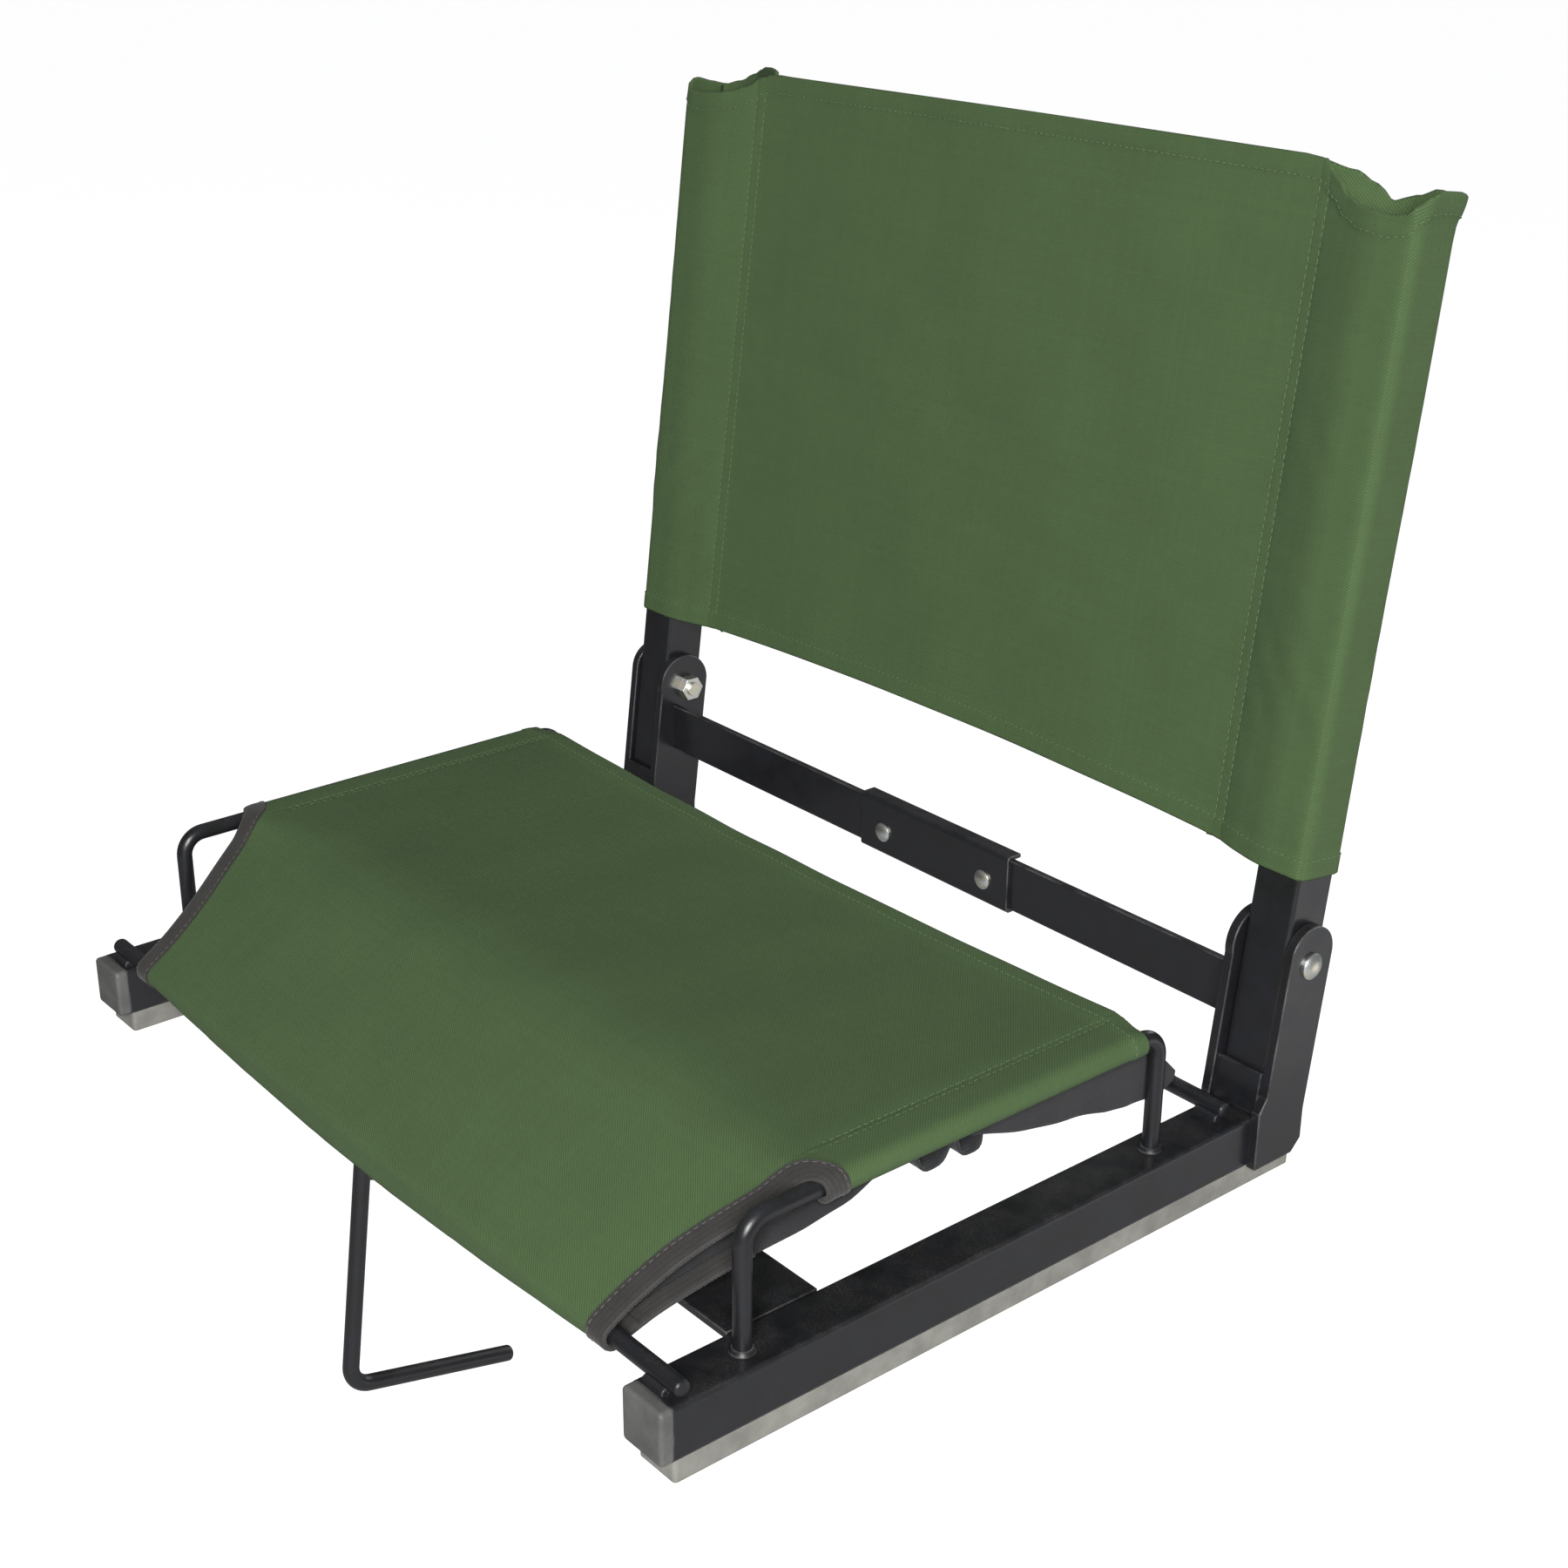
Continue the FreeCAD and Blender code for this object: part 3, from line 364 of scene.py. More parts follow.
def make_piece(name, verts, faces, uv, material, body, nodes=()):
    """A mesh object from points in millimetres that rides on a body and stands for CAD nodes."""
    mesh = bpy.data.meshes.new(name)
    mesh.from_pydata((np.asarray(verts) * MM).tolist(), [], faces)
    layer = mesh.uv_layers.new(name=CLOTH_UV)
    corner = np.empty(len(mesh.loops), dtype=np.int32)
    mesh.loops.foreach_get("vertex_index", corner)
    layer.data.foreach_set("uv", (np.asarray(uv) * MM)[corner].ravel())
    mesh.polygons.foreach_set("use_smooth", [True] * len(mesh.polygons))
    mesh.materials.append(material)
    mesh.validate()
    piece = bpy.data.objects.new(name, mesh)
    bpy.context.scene.collection.objects.link(piece)
    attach(piece, body)
    if nodes:
        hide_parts(*nodes)
    return piece


def cloth_piece(name, points, quads, half, flat, material, body, nodes=()):
    """A thick piece of cloth, with the size and the area of the flat cloth that it is made of."""
    verts, faces, uv = thick_skin(points, quads, half, flat)
    piece = make_piece(name, verts, faces, uv, material, body, nodes)
    size, area = flat_size(flat, quads)
    return piece, size, area


# Node helpers
def feed(tree, socket, value):
    """Link a socket to another one, or give it a value. A colour may come without its alpha."""
    if isinstance(value, bpy.types.NodeSocket):
        tree.links.new(value, socket)
    elif socket.type == "RGBA":
        socket.default_value = (*value, 1.0)
    else:
        socket.default_value = value


def node(tree, kind, inputs=None, **settings):
    made = tree.nodes.new(kind)
    for key, value in settings.items():
        setattr(made, key, value)
    for key, value in (inputs or {}).items():
        feed(tree, made.inputs[key], value)
    return made


def calc(tree, operation, first, second=None, third=None):
    values = {0: first}
    if second is not None:
        values[1] = second
    if third is not None:
        values[2] = third
    return node(tree, "ShaderNodeMath", values, operation=operation).outputs[0]


def new_group(name, inputs, outputs):
    """An empty node group with named sockets: (name, type, default) in and (name, type) out."""
    group = bpy.data.node_groups.new(name, "ShaderNodeTree")
    for label, kind, default in inputs:
        socket = group.interface.new_socket(name=label, in_out="INPUT", socket_type=kind)
        if default is not None:
            socket.default_value = default
    for label, kind in outputs:
        group.interface.new_socket(name=label, in_out="OUTPUT", socket_type=kind)
    return group, group.nodes.new("NodeGroupInput").outputs, group.nodes.new("NodeGroupOutput").inputs


def use_group(tree, name, inputs):
    return node(tree, "ShaderNodeGroup", inputs, node_tree=bpy.data.node_groups[name]).outputs


def blend_colour(tree, amount, first, second, kind="MIX"):
    return node(tree, "ShaderNodeMix", {0: amount, 6: first, 7: second}, data_type="RGBA",
                blend_type=kind).outputs[2]


def toned(tree, base, tone):
    """A colour made lighter or darker by a value."""
    grey = node(tree, "ShaderNodeCombineColor", {0: tone, 1: tone, 2: tone}).outputs[0]
    return blend_colour(tree, 1.0, base, grey, "MULTIPLY")


def scaled(colour, *factors):
    """A colour times one factor, or times one for each channel, no brighter than white."""
    factors = factors * 3 if len(factors) == 1 else factors
    return tuple(min(1.0, channel * factor) for channel, factor in zip(colour, factors))


def noise(tree, vector, scale, detail=2.0, rough=0.5):
    return node(tree, "ShaderNodeTexNoise", {"Vector": vector, "Scale": scale, "Detail": detail,
                                             "Roughness": rough}).outputs["Fac"]


def spread(tree, value, low, high, out_low=0.0, out_high=1.0):
    return node(tree, "ShaderNodeMapRange", {0: value, 1: low, 2: high, 3: out_low, 4: out_high}).outputs[0]


def build_weave_group():
    """Plain weave: round threads that pass over and under each other."""
    tree, given, result = new_group("Plain weave",
                                    [("Vector", "NodeSocketVector", None),
                                     ("Pitch", "NodeSocketFloat", 0.00078)],
                                    [("Height", "NodeSocketFloat"), ("Thread", "NodeSocketFloat")])
    parts = node(tree, "ShaderNodeSeparateXYZ", {0: given["Vector"]}).outputs
    across = calc(tree, "DIVIDE", parts[0], given["Pitch"])
    down = calc(tree, "DIVIDE", parts[1], given["Pitch"])

    def threads(over, run, phase):
        number = calc(tree, "FLOOR", over)
        profile = calc(tree, "POWER", calc(tree, "ABSOLUTE", calc(tree, "SINE",
                       calc(tree, "MULTIPLY", over, math.pi))), 0.6)
        turn = calc(tree, "MULTIPLY", calc(tree, "ADD", calc(tree, "ADD", run, number), phase), math.pi)
        wave = calc(tree, "MULTIPLY_ADD", calc(tree, "COSINE", turn), 0.5, 0.5)
        tone = node(tree, "ShaderNodeTexWhiteNoise", {"W": calc(tree, "ADD", number, phase * 37.5)},
                    noise_dimensions="1D").outputs["Value"]
        return calc(tree, "MULTIPLY", profile, wave), tone

    warp, warp_tone = threads(across, down, 0.0)
    weft, weft_tone = threads(down, across, 1.0)
    tree.links.new(calc(tree, "MAXIMUM", warp, weft), result["Height"])
    over = calc(tree, "GREATER_THAN", warp, weft)
    tone = calc(tree, "ADD", calc(tree, "MULTIPLY", over, warp_tone),
                calc(tree, "MULTIPLY", calc(tree, "SUBTRACT", 1.0, over), weft_tone))
    tree.links.new(tone, result["Thread"])


def build_mottle_group():
    """Uneven tone: soft patches a few centimetres wide with finer ones inside."""
    tree, given, result = new_group("Mottle", [("Vector", "NodeSocketVector", None),
                                               ("Scale", "NodeSocketFloat", 30.0)],
                                    [("Broad", "NodeSocketFloat"), ("Fine", "NodeSocketFloat")])
    tree.links.new(noise(tree, given["Vector"], given["Scale"], 3.0, 0.6), result["Broad"])
    finer = calc(tree, "MULTIPLY", given["Scale"], 9.0)
    tree.links.new(noise(tree, given["Vector"], finer, 3.0, 0.65), result["Fine"])


def build_edge_mask_and_dust_group():
    """A patchy mask along the edges, which the finishes use for rubbed wear and painted edge highlights, and
    dust on faces that look up.
    """
    tree, given, result = new_group("Edge wear and dust",
                                    [("Vector", "NodeSocketVector", None),
                                     ("Radius", "NodeSocketFloat", 0.0008),
                                     ("Dust scale", "NodeSocketFloat", 60.0)],
                                    [("Edge", "NodeSocketFloat"), ("Dust", "NodeSocketFloat"),
                                     ("Normal", "NodeSocketVector")])
    bevel = node(tree, "ShaderNodeBevel", {"Radius": given["Radius"]}, samples=4)
    shape = tree.nodes.new("ShaderNodeNewGeometry")
    bend = node(tree, "ShaderNodeVectorMath", {0: bevel.outputs[0], 1: shape.outputs["Normal"]},
                operation="DOT_PRODUCT").outputs["Value"]
    patches = noise(tree, given["Vector"], given["Dust scale"], 4.0, 0.62)
    edge = calc(tree, "MULTIPLY", spread(tree, bend, 0.995, 0.86), spread(tree, patches, 0.35, 0.62))
    tree.links.new(edge, result["Edge"])
    up = node(tree, "ShaderNodeSeparateXYZ", {0: shape.outputs["Normal"]}).outputs[2]
    specks = noise(tree, given["Vector"], calc(tree, "MULTIPLY", given["Dust scale"], 22.0), 2.0, 0.7)
    dust = calc(tree, "MULTIPLY", spread(tree, up, 0.55, 0.98), spread(tree, patches, 0.38, 0.72))
    dust = calc(tree, "MULTIPLY", dust, spread(tree, specks, 0.40, 0.66))
    tree.links.new(dust, result["Dust"])
    tree.links.new(bevel.outputs[0], result["Normal"])


def build_grain_group():
    """Fine skin of a coating or a moulding: soft dimples with small grains between."""
    tree, given, result = new_group("Fine grain", [("Vector", "NodeSocketVector", None),
                                                   ("Scale", "NodeSocketFloat", 900.0)],
                                    [("Height", "NodeSocketFloat"), ("Tone", "NodeSocketFloat")])
    dimples = node(tree, "ShaderNodeTexVoronoi", {"Vector": given["Vector"], "Scale": given["Scale"]},
                   feature="SMOOTH_F1").outputs["Distance"]
    grains = noise(tree, given["Vector"], calc(tree, "MULTIPLY", given["Scale"], 2.6), 2.0, 0.6)
    tree.links.new(calc(tree, "MULTIPLY_ADD", dimples, 0.7, calc(tree, "MULTIPLY", grains, 0.5)),
                   result["Height"])
    tree.links.new(noise(tree, given["Vector"], calc(tree, "DIVIDE", given["Scale"], 14.0), 3.0, 0.6),
                   result["Tone"])


def new_material(name):
    """A material with its Principled shader and the object's coordinates."""
    material = bpy.data.materials.new(name)
    material.use_nodes = True
    tree = material.node_tree
    shader = tree.nodes["Principled BSDF"]
    place = tree.nodes.new("ShaderNodeTexCoord").outputs["Object"]
    return material, tree, shader, place


def bump(tree, height, strength, distance, normal=None):
    inputs = {"Height": height, "Strength": strength, "Distance": distance}
    if normal is not None:
        inputs["Normal"] = normal
    return node(tree, "ShaderNodeBump", inputs).outputs[0]


def cloth_coordinates(tree):
    return node(tree, "ShaderNodeUVMap", uv_map=CLOTH_UV).outputs[0]


def woven_material(name, colour, pitch, contrast, sheen):
    """Canvas and plain cloth: weave with painted shade between its threads, uneven dye, slubs and a soft
    sheen.
    """
    material, tree, shader, place = new_material(name)
    flat = cloth_coordinates(tree)
    weave = use_group(tree, "Plain weave", {"Vector": flat, "Pitch": pitch})
    mottle = use_group(tree, "Mottle", {"Vector": place, "Scale": 26.0})
    stretch = node(tree, "ShaderNodeMapping", {"Vector": flat, "Scale": (1.0, 14.0, 1.0)}).outputs[0]
    slubs = noise(tree, stretch, 160.0, 2.0, 0.6)
    base = blend_colour(tree, spread(tree, mottle["Broad"], 0.30, 0.70),
                        scaled(colour, 1.0 - contrast), scaled(colour, 1.0 + contrast))
    fine = spread(tree, mottle["Fine"], 0.32, 0.68, 1.0 - contrast * 0.55, 1.0 + contrast * 0.55)
    threads = spread(tree, weave["Thread"], 0.0, 1.0, 0.96, 1.04)
    # Painted shade and light: darker in the hollows between the threads, a little lighter on their crowns.
    painted_groove_shade = spread(tree, weave["Height"], 0.05, 0.95, 0.76, 1.10)
    streaks = spread(tree, slubs, 0.35, 0.70, 0.985, 1.02)
    tone = calc(tree, "MULTIPLY", calc(tree, "MULTIPLY", fine, threads),
                calc(tree, "MULTIPLY", painted_groove_shade, streaks))
    tree.links.new(toned(tree, base, tone), shader.inputs["Base Color"])
    tree.links.new(spread(tree, weave["Height"], 0.0, 1.0, 0.95, 0.80), shader.inputs["Roughness"])
    shader.inputs["Specular IOR Level"].default_value = 0.12
    shader.inputs["Sheen Weight"].default_value = sheen
    shader.inputs["Sheen Roughness"].default_value = 0.55
    soft = bump(tree, slubs, 0.12, 0.0001)
    tree.links.new(bump(tree, weave["Height"], 0.75, pitch * 0.28, soft), shader.inputs["Normal"])
    return material


def ribbed_material(name, colour, ridge, rib, contrast):
    """Tape and webbing: long ridges along the band and fine ribs across it, darker in the grooves as painted
    shade.
    """
    material, tree, shader, place = new_material(name)
    flat = cloth_coordinates(tree)
    parts = node(tree, "ShaderNodeSeparateXYZ", {0: flat}).outputs
    ridges = calc(tree, "ABSOLUTE", calc(tree, "SINE", calc(tree, "MULTIPLY", parts[0], math.pi / ridge)))
    ribs = calc(tree, "ABSOLUTE", calc(tree, "SINE", calc(tree, "MULTIPLY", parts[1], math.pi / rib)))
    height = calc(tree, "ADD", calc(tree, "MULTIPLY", ridges, 0.6), calc(tree, "MULTIPLY", ribs, 0.5))
    mottle = use_group(tree, "Mottle", {"Vector": place, "Scale": 60.0})
    base = blend_colour(tree, spread(tree, mottle["Broad"], 0.3, 0.7),
                        scaled(colour, 1.0 - contrast), scaled(colour, 1.0 + contrast))
    # Painted shade in the grooves between ridges and ribs, times uneven tone.
    tone = calc(tree, "MULTIPLY", spread(tree, height, 0.0, 1.1, 0.70, 1.15),
                spread(tree, mottle["Fine"], 0.3, 0.7, 0.90, 1.10))
    tree.links.new(toned(tree, base, tone), shader.inputs["Base Color"])
    tree.links.new(spread(tree, height, 0.0, 1.1, 0.85, 0.62), shader.inputs["Roughness"])
    shader.inputs["Specular IOR Level"].default_value = 0.35
    shader.inputs["Sheen Weight"].default_value = 0.15
    tree.links.new(bump(tree, height, 0.8, 0.00022), shader.inputs["Normal"])
    return material


def thread_material(name, colour):
    """Twisted sewing thread, darker in the grooves of its twist as painted shade."""
    material, tree, shader, place = new_material(name)
    flat = cloth_coordinates(tree)
    parts = node(tree, "ShaderNodeSeparateXYZ", {0: flat}).outputs
    turn = calc(tree, "MULTIPLY_ADD", parts[0], 1.0, calc(tree, "MULTIPLY", parts[1], 0.8))
    twist = calc(tree, "ABSOLUTE", calc(tree, "SINE", calc(tree, "MULTIPLY", turn, math.pi / 0.00045)))
    # Painted shade: darker in the grooves of the twist, lighter on its ridges.
    painted_groove_shade = spread(tree, twist, 0.0, 1.0, 0.65, 1.15)
    base = blend_colour(tree, noise(tree, place, 220.0), scaled(colour, 0.85), scaled(colour, 1.2))
    tree.links.new(toned(tree, base, painted_groove_shade), shader.inputs["Base Color"])
    tree.links.new(spread(tree, twist, 0.0, 1.0, 0.75, 0.5), shader.inputs["Roughness"])
    tree.links.new(bump(tree, twist, 0.5, 0.00008), shader.inputs["Normal"])
    return material


def coated_material(name, colour, roughness, grain, edge_radius, edge_wear_and_highlight, dust_light):
    """Satin powder coat: fine orange peel, paler edges that are partly rubbed wear and partly painted
    highlight, and a little dust on top.
    """
    material, tree, shader, place = new_material(name)
    edge_and_dust = use_group(tree, "Edge wear and dust", {"Vector": place, "Radius": edge_radius,
                                                  "Dust scale": 55.0})
    skin = use_group(tree, "Fine grain", {"Vector": place, "Scale": grain})
    base = blend_colour(tree, spread(tree, skin["Tone"], 0.35, 0.65), colour,
                        scaled(colour, 1.15, 1.2, 1.4))
    # Paler edges: partly rubbed wear, partly a painted highlight along the rounded edges.
    base = blend_colour(tree, calc(tree, "MULTIPLY", edge_and_dust["Edge"], 0.85), base, (edge_wear_and_highlight,) * 3)
    dusted = blend_colour(tree, calc(tree, "MULTIPLY", edge_and_dust["Dust"], dust_light), base,
                          (0.30, 0.28, 0.25))
    tree.links.new(dusted, shader.inputs["Base Color"])
    smooth = spread(tree, skin["Tone"], 0.3, 0.7, roughness - 0.05, roughness + 0.06)
    rough = calc(tree, "MULTIPLY_ADD", edge_and_dust["Dust"], 0.30, smooth)
    tree.links.new(rough, shader.inputs["Roughness"])
    shader.inputs["Coat Weight"].default_value = 0.15
    shader.inputs["Coat Roughness"].default_value = 0.12
    tree.links.new(bump(tree, skin["Height"], 0.22, 0.00006, edge_and_dust["Normal"]), shader.inputs["Normal"])
    return material


def zinc_material(name, colour):
    """Bright zinc plate with fine turning marks and a faint yellow and blue bloom."""
    material, tree, shader, place = new_material(name)
    edge_and_dust = use_group(tree, "Edge wear and dust", {"Vector": place, "Radius": 0.0004,
                                                  "Dust scale": 160.0})
    patch = noise(tree, place, 190.0, 3.0, 0.6)
    base = blend_colour(tree, spread(tree, patch, 0.35, 0.65), scaled(colour, 1.05, 1.0, 0.82),
                        scaled(colour, 0.90, 0.97, 1.08))
    tree.links.new(blend_colour(tree, calc(tree, "MULTIPLY", edge_and_dust["Edge"], 0.35), base,
                                (0.93, 0.93, 0.90)), shader.inputs["Base Color"])
    shader.inputs["Metallic"].default_value = 1.0
    fine = noise(tree, place, 2600.0, 2.0, 0.6)
    tree.links.new(spread(tree, fine, 0.3, 0.7, 0.30, 0.46), shader.inputs["Roughness"])
    tree.links.new(bump(tree, fine, 0.15, 0.00005, edge_and_dust["Normal"]), shader.inputs["Normal"])
    return material


def moulded_material(name, colour, roughness, grain, edge_wear_and_highlight):
    """Moulded plastic or rubber: fine texture, and paler edges that are partly rubbed wear and partly painted
    highlight.
    """
    material, tree, shader, place = new_material(name)
    edge_and_dust = use_group(tree, "Edge wear and dust", {"Vector": place, "Radius": 0.0012,
                                                  "Dust scale": 75.0})
    skin = use_group(tree, "Fine grain", {"Vector": place, "Scale": grain})
    base = blend_colour(tree, spread(tree, skin["Tone"], 0.32, 0.68), scaled(colour, 0.80),
                        scaled(colour, 1.16))
    # Paler edges: partly rubbed wear, partly a painted highlight along the rounded edges.
    base = blend_colour(tree, calc(tree, "MULTIPLY", edge_and_dust["Edge"], 0.7), base,
                        scaled(colour, edge_wear_and_highlight))
    tree.links.new(base, shader.inputs["Base Color"])
    tree.links.new(spread(tree, skin["Tone"], 0.3, 0.7, roughness + 0.06, roughness - 0.06),
                   shader.inputs["Roughness"])
    tree.links.new(bump(tree, skin["Height"], 0.30, 0.00010, edge_and_dust["Normal"]), shader.inputs["Normal"])
    return material


def floor_material(name, colour, glow):
    """Matt pale studio paper that the camera sees blown out to white."""
    material, tree, shader, place = new_material(name)
    seen = tree.nodes.new("ShaderNodeLightPath").outputs["Is Camera Ray"]
    tree.links.new(seen, shader.inputs["Emission Color"])
    shader.inputs["Emission Strength"].default_value = glow
    patch = noise(tree, place, 1.5, 2.0, 0.5)
    tree.links.new(blend_colour(tree, patch, colour, scaled(colour, 1.015)), shader.inputs["Base Color"])
    shader.inputs["Roughness"].default_value = 0.9
    shader.inputs["Specular IOR Level"].default_value = 0.1
    return material


def material_named(name):
    material = bpy.data.materials.get(name)
    if material is None:
        raise RuntimeError("the finishes have to be made before " + name + " is used")
    return material


# Back canvas
def back_section():
    """Line of the cloth round both tubes in (across, front to back), left tail to right tail."""
    half = TUBE_HALF_WIDE + BACK_SLACK
    deep = TUBE_HALF_DEEP + BACK_SLACK
    inner, outer = RAIL_X - half, RAIL_X + half
    right = [(BACK_PANEL_X, BACK_PANEL_T), (inner + 1, -deep), (outer, -deep), (outer, deep),
             (inner, deep), (183.0, BACK_PANEL_T + 1.35)]
    left = [(-x, t) for x, t in reversed(right)]
    bends = [60.0, 50.0, 3.2, 3.2, 6.0]
    return bent_path(left + right, bends[::-1] + bends)


BACK_LINE = back_section()
BACK_HALF = lengths_of(BACK_LINE)[-1] / 2

# How far the open top of a sleeve lies below the top of the panel, by distance across the cloth
MOUTH = {RIGHT: [(0, 0.8), (176, 1.2), (188, 2.0), (197, 8.0), (207, 15.0), (218, 18.5), (232, 20.0),
                 (242, 18.5), (248, 11.0), (254, 8.2), (266, 8.2), (275, 10.2), (285, 9.0), (294, 12.5),
                 (304, 16.0), (312, 10.0), (322, 5.5), (340, 2.2)],
         LEFT: [(0, 0.8), (174, 1.2), (182, 0.6), (190, 3.0), (201, 9.0), (210, 12.2), (219, 14.0),
                (231, 15.0), (241, 14.5), (247, 9.0), (252, 8.2), (262, 9.5), (272, 10.5), (283, 7.7),
                (293, 3.5), (301, 0.5), (312, -1.4), (325, -1.8), (340, -1.0)]}


def lean_back(points):
    """From the backrest's own upright frame to its place: across, front to back, up the tubes."""
    x, t, s = points[..., 0], points[..., 1], points[..., 2]
    cos, sin = math.cos(RECLINE), math.sin(RECLINE)
    return np.stack([x, PIVOT_Y + t * cos + s * sin, PIVOT_Z - t * sin + s * cos], -1)


def back_head(u):
    right = BACK_HEAD - eased(u, MOUTH[RIGHT])
    left = BACK_HEAD - eased(-u, MOUTH[LEFT])
    return np.where(u > 0, right, left)


def back_foot(u):
    return BACK_FOOT + BACK_ARCH * np.clip(1 - (u / 213.0) ** 2, 0, 1)


def sleeve_lift(side, s, sign):
    """How far the cloth stands off the line round a tube: fullness of the sleeve and slanting creases."""
    sleeve = window(side, 192.0, 8.0, 300.0, 14.0)
    front_wall = window(side, 204.0, 8.0, 254.0, 8.0)
    sleeve = sleeve * (1 - 0.85 * front_wall * smooth_step((120.0 - s) / 25.0))
    fullness = 0.35 + 0.20 * np.sin(s / 37.0 + sign)
    crease = hill(s, 128.0, 34.0) + 0.5 * hill(s, 232.0, 26.0)
    fold = crease * (0.5 + 0.5 * np.sin(2 * math.pi * (s + 1.1 * side) / 25.0))
    return sleeve * (fullness + fold * (0.95 - 0.75 * smooth_step((side - 238.0) / 10.0)))


def mouth_lift(u, side, s):
    """How far the open top of each sleeve flares away from its tube."""
    right = 0.6 + 2.0 * smooth_step((side - 236.0) / 12.0)
    left = 0.9 - 2.6 * window(side, 240.0, 8.0, 282.0, 8.0)
    above_tube = smooth_step((s - TUBE_END + 4.0) / 16.0)
    return smooth_step((side - 206.0) / 9.0) * above_tube * np.where(u > 0, right, left)


def back_surface(u, s, bow):
    """Middle of the cloth at a distance across and a height, before it leans back."""
    line = along(BACK_LINE, u + BACK_HALF)
    ahead = unit(along(BACK_LINE, u + BACK_HALF + 0.4) - along(BACK_LINE, u + BACK_HALF - 0.4))
    out = np.stack([ahead[..., 1], -ahead[..., 0]], -1)
    side = np.abs(u)
    height = (s - BACK_FOOT) / (BACK_HEAD - BACK_FOOT)
    panel = np.clip(1 - (u / BACK_PANEL_X) ** 2, 0, 1)
    waves = ripple(u, s, [(0.35, 96, 24, 0.4), (0.25, 61, 118, 1.9), (0.16, 37, 71, 4.0)])
    lift = panel * (waves - bow * (0.75 + 0.5 * height))
    pucker = (0.10 + 0.10 * np.sin(s / 17.0 + 1.0)) * np.sin(2 * math.pi * s / 8.2 + u * 0.2)
    lift = lift + hill(side, sum(BACK_SEAMS) / 2, 7.0) * pucker
    lift = lift + sleeve_lift(side, s, np.sign(u)) + mouth_lift(u, side, s)
    lift = lift + window(-u, 246.0, 9.0, 280.0, 9.0) * (2.6 - 1.4 * height)
    point = line + out * lift[..., None]
    return np.stack([point[..., 0], point[..., 1], s], -1), np.stack(
        [out[..., 0], out[..., 1], np.zeros_like(s)], -1)


def hem_half(distance, sizes):
    """Half the thickness of the cloth by its distance from a hemmed edge."""
    thin, full, width = sizes.cloth / MM / 2, sizes.hem / MM / 2, sizes.hem_width / MM
    half = full + (thin - full) * smooth_step((distance - width - 0.2) / 1.0)
    return half - 0.32 * hill(distance, width, 0.55)


def hem_steps(width):
    """Rows of points over a hem, close together where its stitches sink in."""
    return [0.0, 0.8, 2.6, 5.0] + [width + step for step in (-1.2, -0.55, 0.0, 0.55, 1.2)]


def seam_dip(distance):
    return 0.16 * hill(distance, 0.0, 0.6)


def back_columns():
    """Places across the back cloth: close on the sleeves and at the seams, never nearly the same."""
    end = BACK_HALF
    seams = [sign * seam for sign in (RIGHT, LEFT) for seam in BACK_SEAMS]
    wide = stations([-end, -219, -206, 0, 206, 219, end], 9.0, seams)
    close = stations([-end, -200, 200, end], 3.2)
    columns = np.array(sorted(set(np.round(np.concatenate([wide, close[np.abs(close) > 196]]), 3))))
    apart = np.diff(columns) > 0.35
    return columns[np.concatenate([[True], apart])]


def back_cloth(sizes, material):
    columns = back_columns()
    width = sizes.hem_width / MM
    hem = hem_steps(width) + [width + 4.0]
    foot, head = back_foot(columns), back_head(columns)
    low, high = foot + hem[-1], head - hem[-1]
    rows = [foot + step for step in hem]
    rows += [low + (high - low) * part for part in np.linspace(0, 1, 42)[1:-1]]
    rows += [head - step for step in hem[::-1]]
    s = np.array(rows)
    edge = np.array(hem + [CLEAR_OF_HEM] * (len(rows) - 2 * len(hem)) + hem[::-1])
    u = np.broadcast_to(columns, s.shape)
    points = back_surface(u, s, sizes.bow / MM)[0]
    half = np.repeat(hem_half(edge, sizes)[:, None], len(columns), 1)
    for seam in BACK_SEAMS:
        half = half - seam_dip(np.abs(u) - seam)
    quads = grid_faces(np.arange(s.size).reshape(s.shape))
    return cloth_piece("back_cloth", lean_back(points).reshape(-1, 3), quads,
                       np.maximum(half, THINNEST).ravel(), np.stack([u, s], -1).reshape(-1, 2),
                       material, "backrest", ["back_canvas"])


# Seat canvas
def seat_profile(droop, bend=SLOPE_BEND):
    """Side view of the cloth from the rear hem over the slope and round the front rod."""
    run, rise = SLOPE_START - ROD_Y, SEAT_TOP - ROD_Z
    slope = math.atan2(rise, run) - math.asin(POCKET_R / math.hypot(run, rise))
    nose = ROD_Y - POCKET_R
    upper = ROD_Z + POCKET_R * math.tan((math.pi / 2 - slope) / 2)
    lower = ROD_Z - POCKET_R * math.tan((math.pi / 2 + slope) / 2)
    reach = ROD_Z - lower + 10.0
    end = (nose + reach * math.cos(slope), lower + reach * math.sin(slope))
    corners = [(SEAT_REAR, SEAT_TOP), (SLOPE_START, SEAT_TOP), (nose, upper),
               (nose, lower - 5.15 * droop), end]
    return bent_path(corners, [bend, POCKET_R, POCKET_R - 3.4 * droop])


SEAT_PROFILE = seat_profile(0.0)
SOFT_PROFILE = seat_profile(0.0, SOFT_BEND)
SEAT_LENGTHS = lengths_of(SEAT_PROFILE)
NOSE_AT = SEAT_LENGTHS[int(np.argmax(SEAT_PROFILE[:, 0] < ROD_Y - POCKET_R + 0.02))]
SEAT_END = SEAT_LENGTHS[-1]


def seat_at(y):
    """Distance down the cloth of a place on the seat or the slope."""
    count = int(np.argmin(SEAT_PROFILE[:, 0])) + 1
    return np.interp(-np.asarray(y, float), -SEAT_PROFILE[:count, 0], SEAT_LENGTHS[:count])


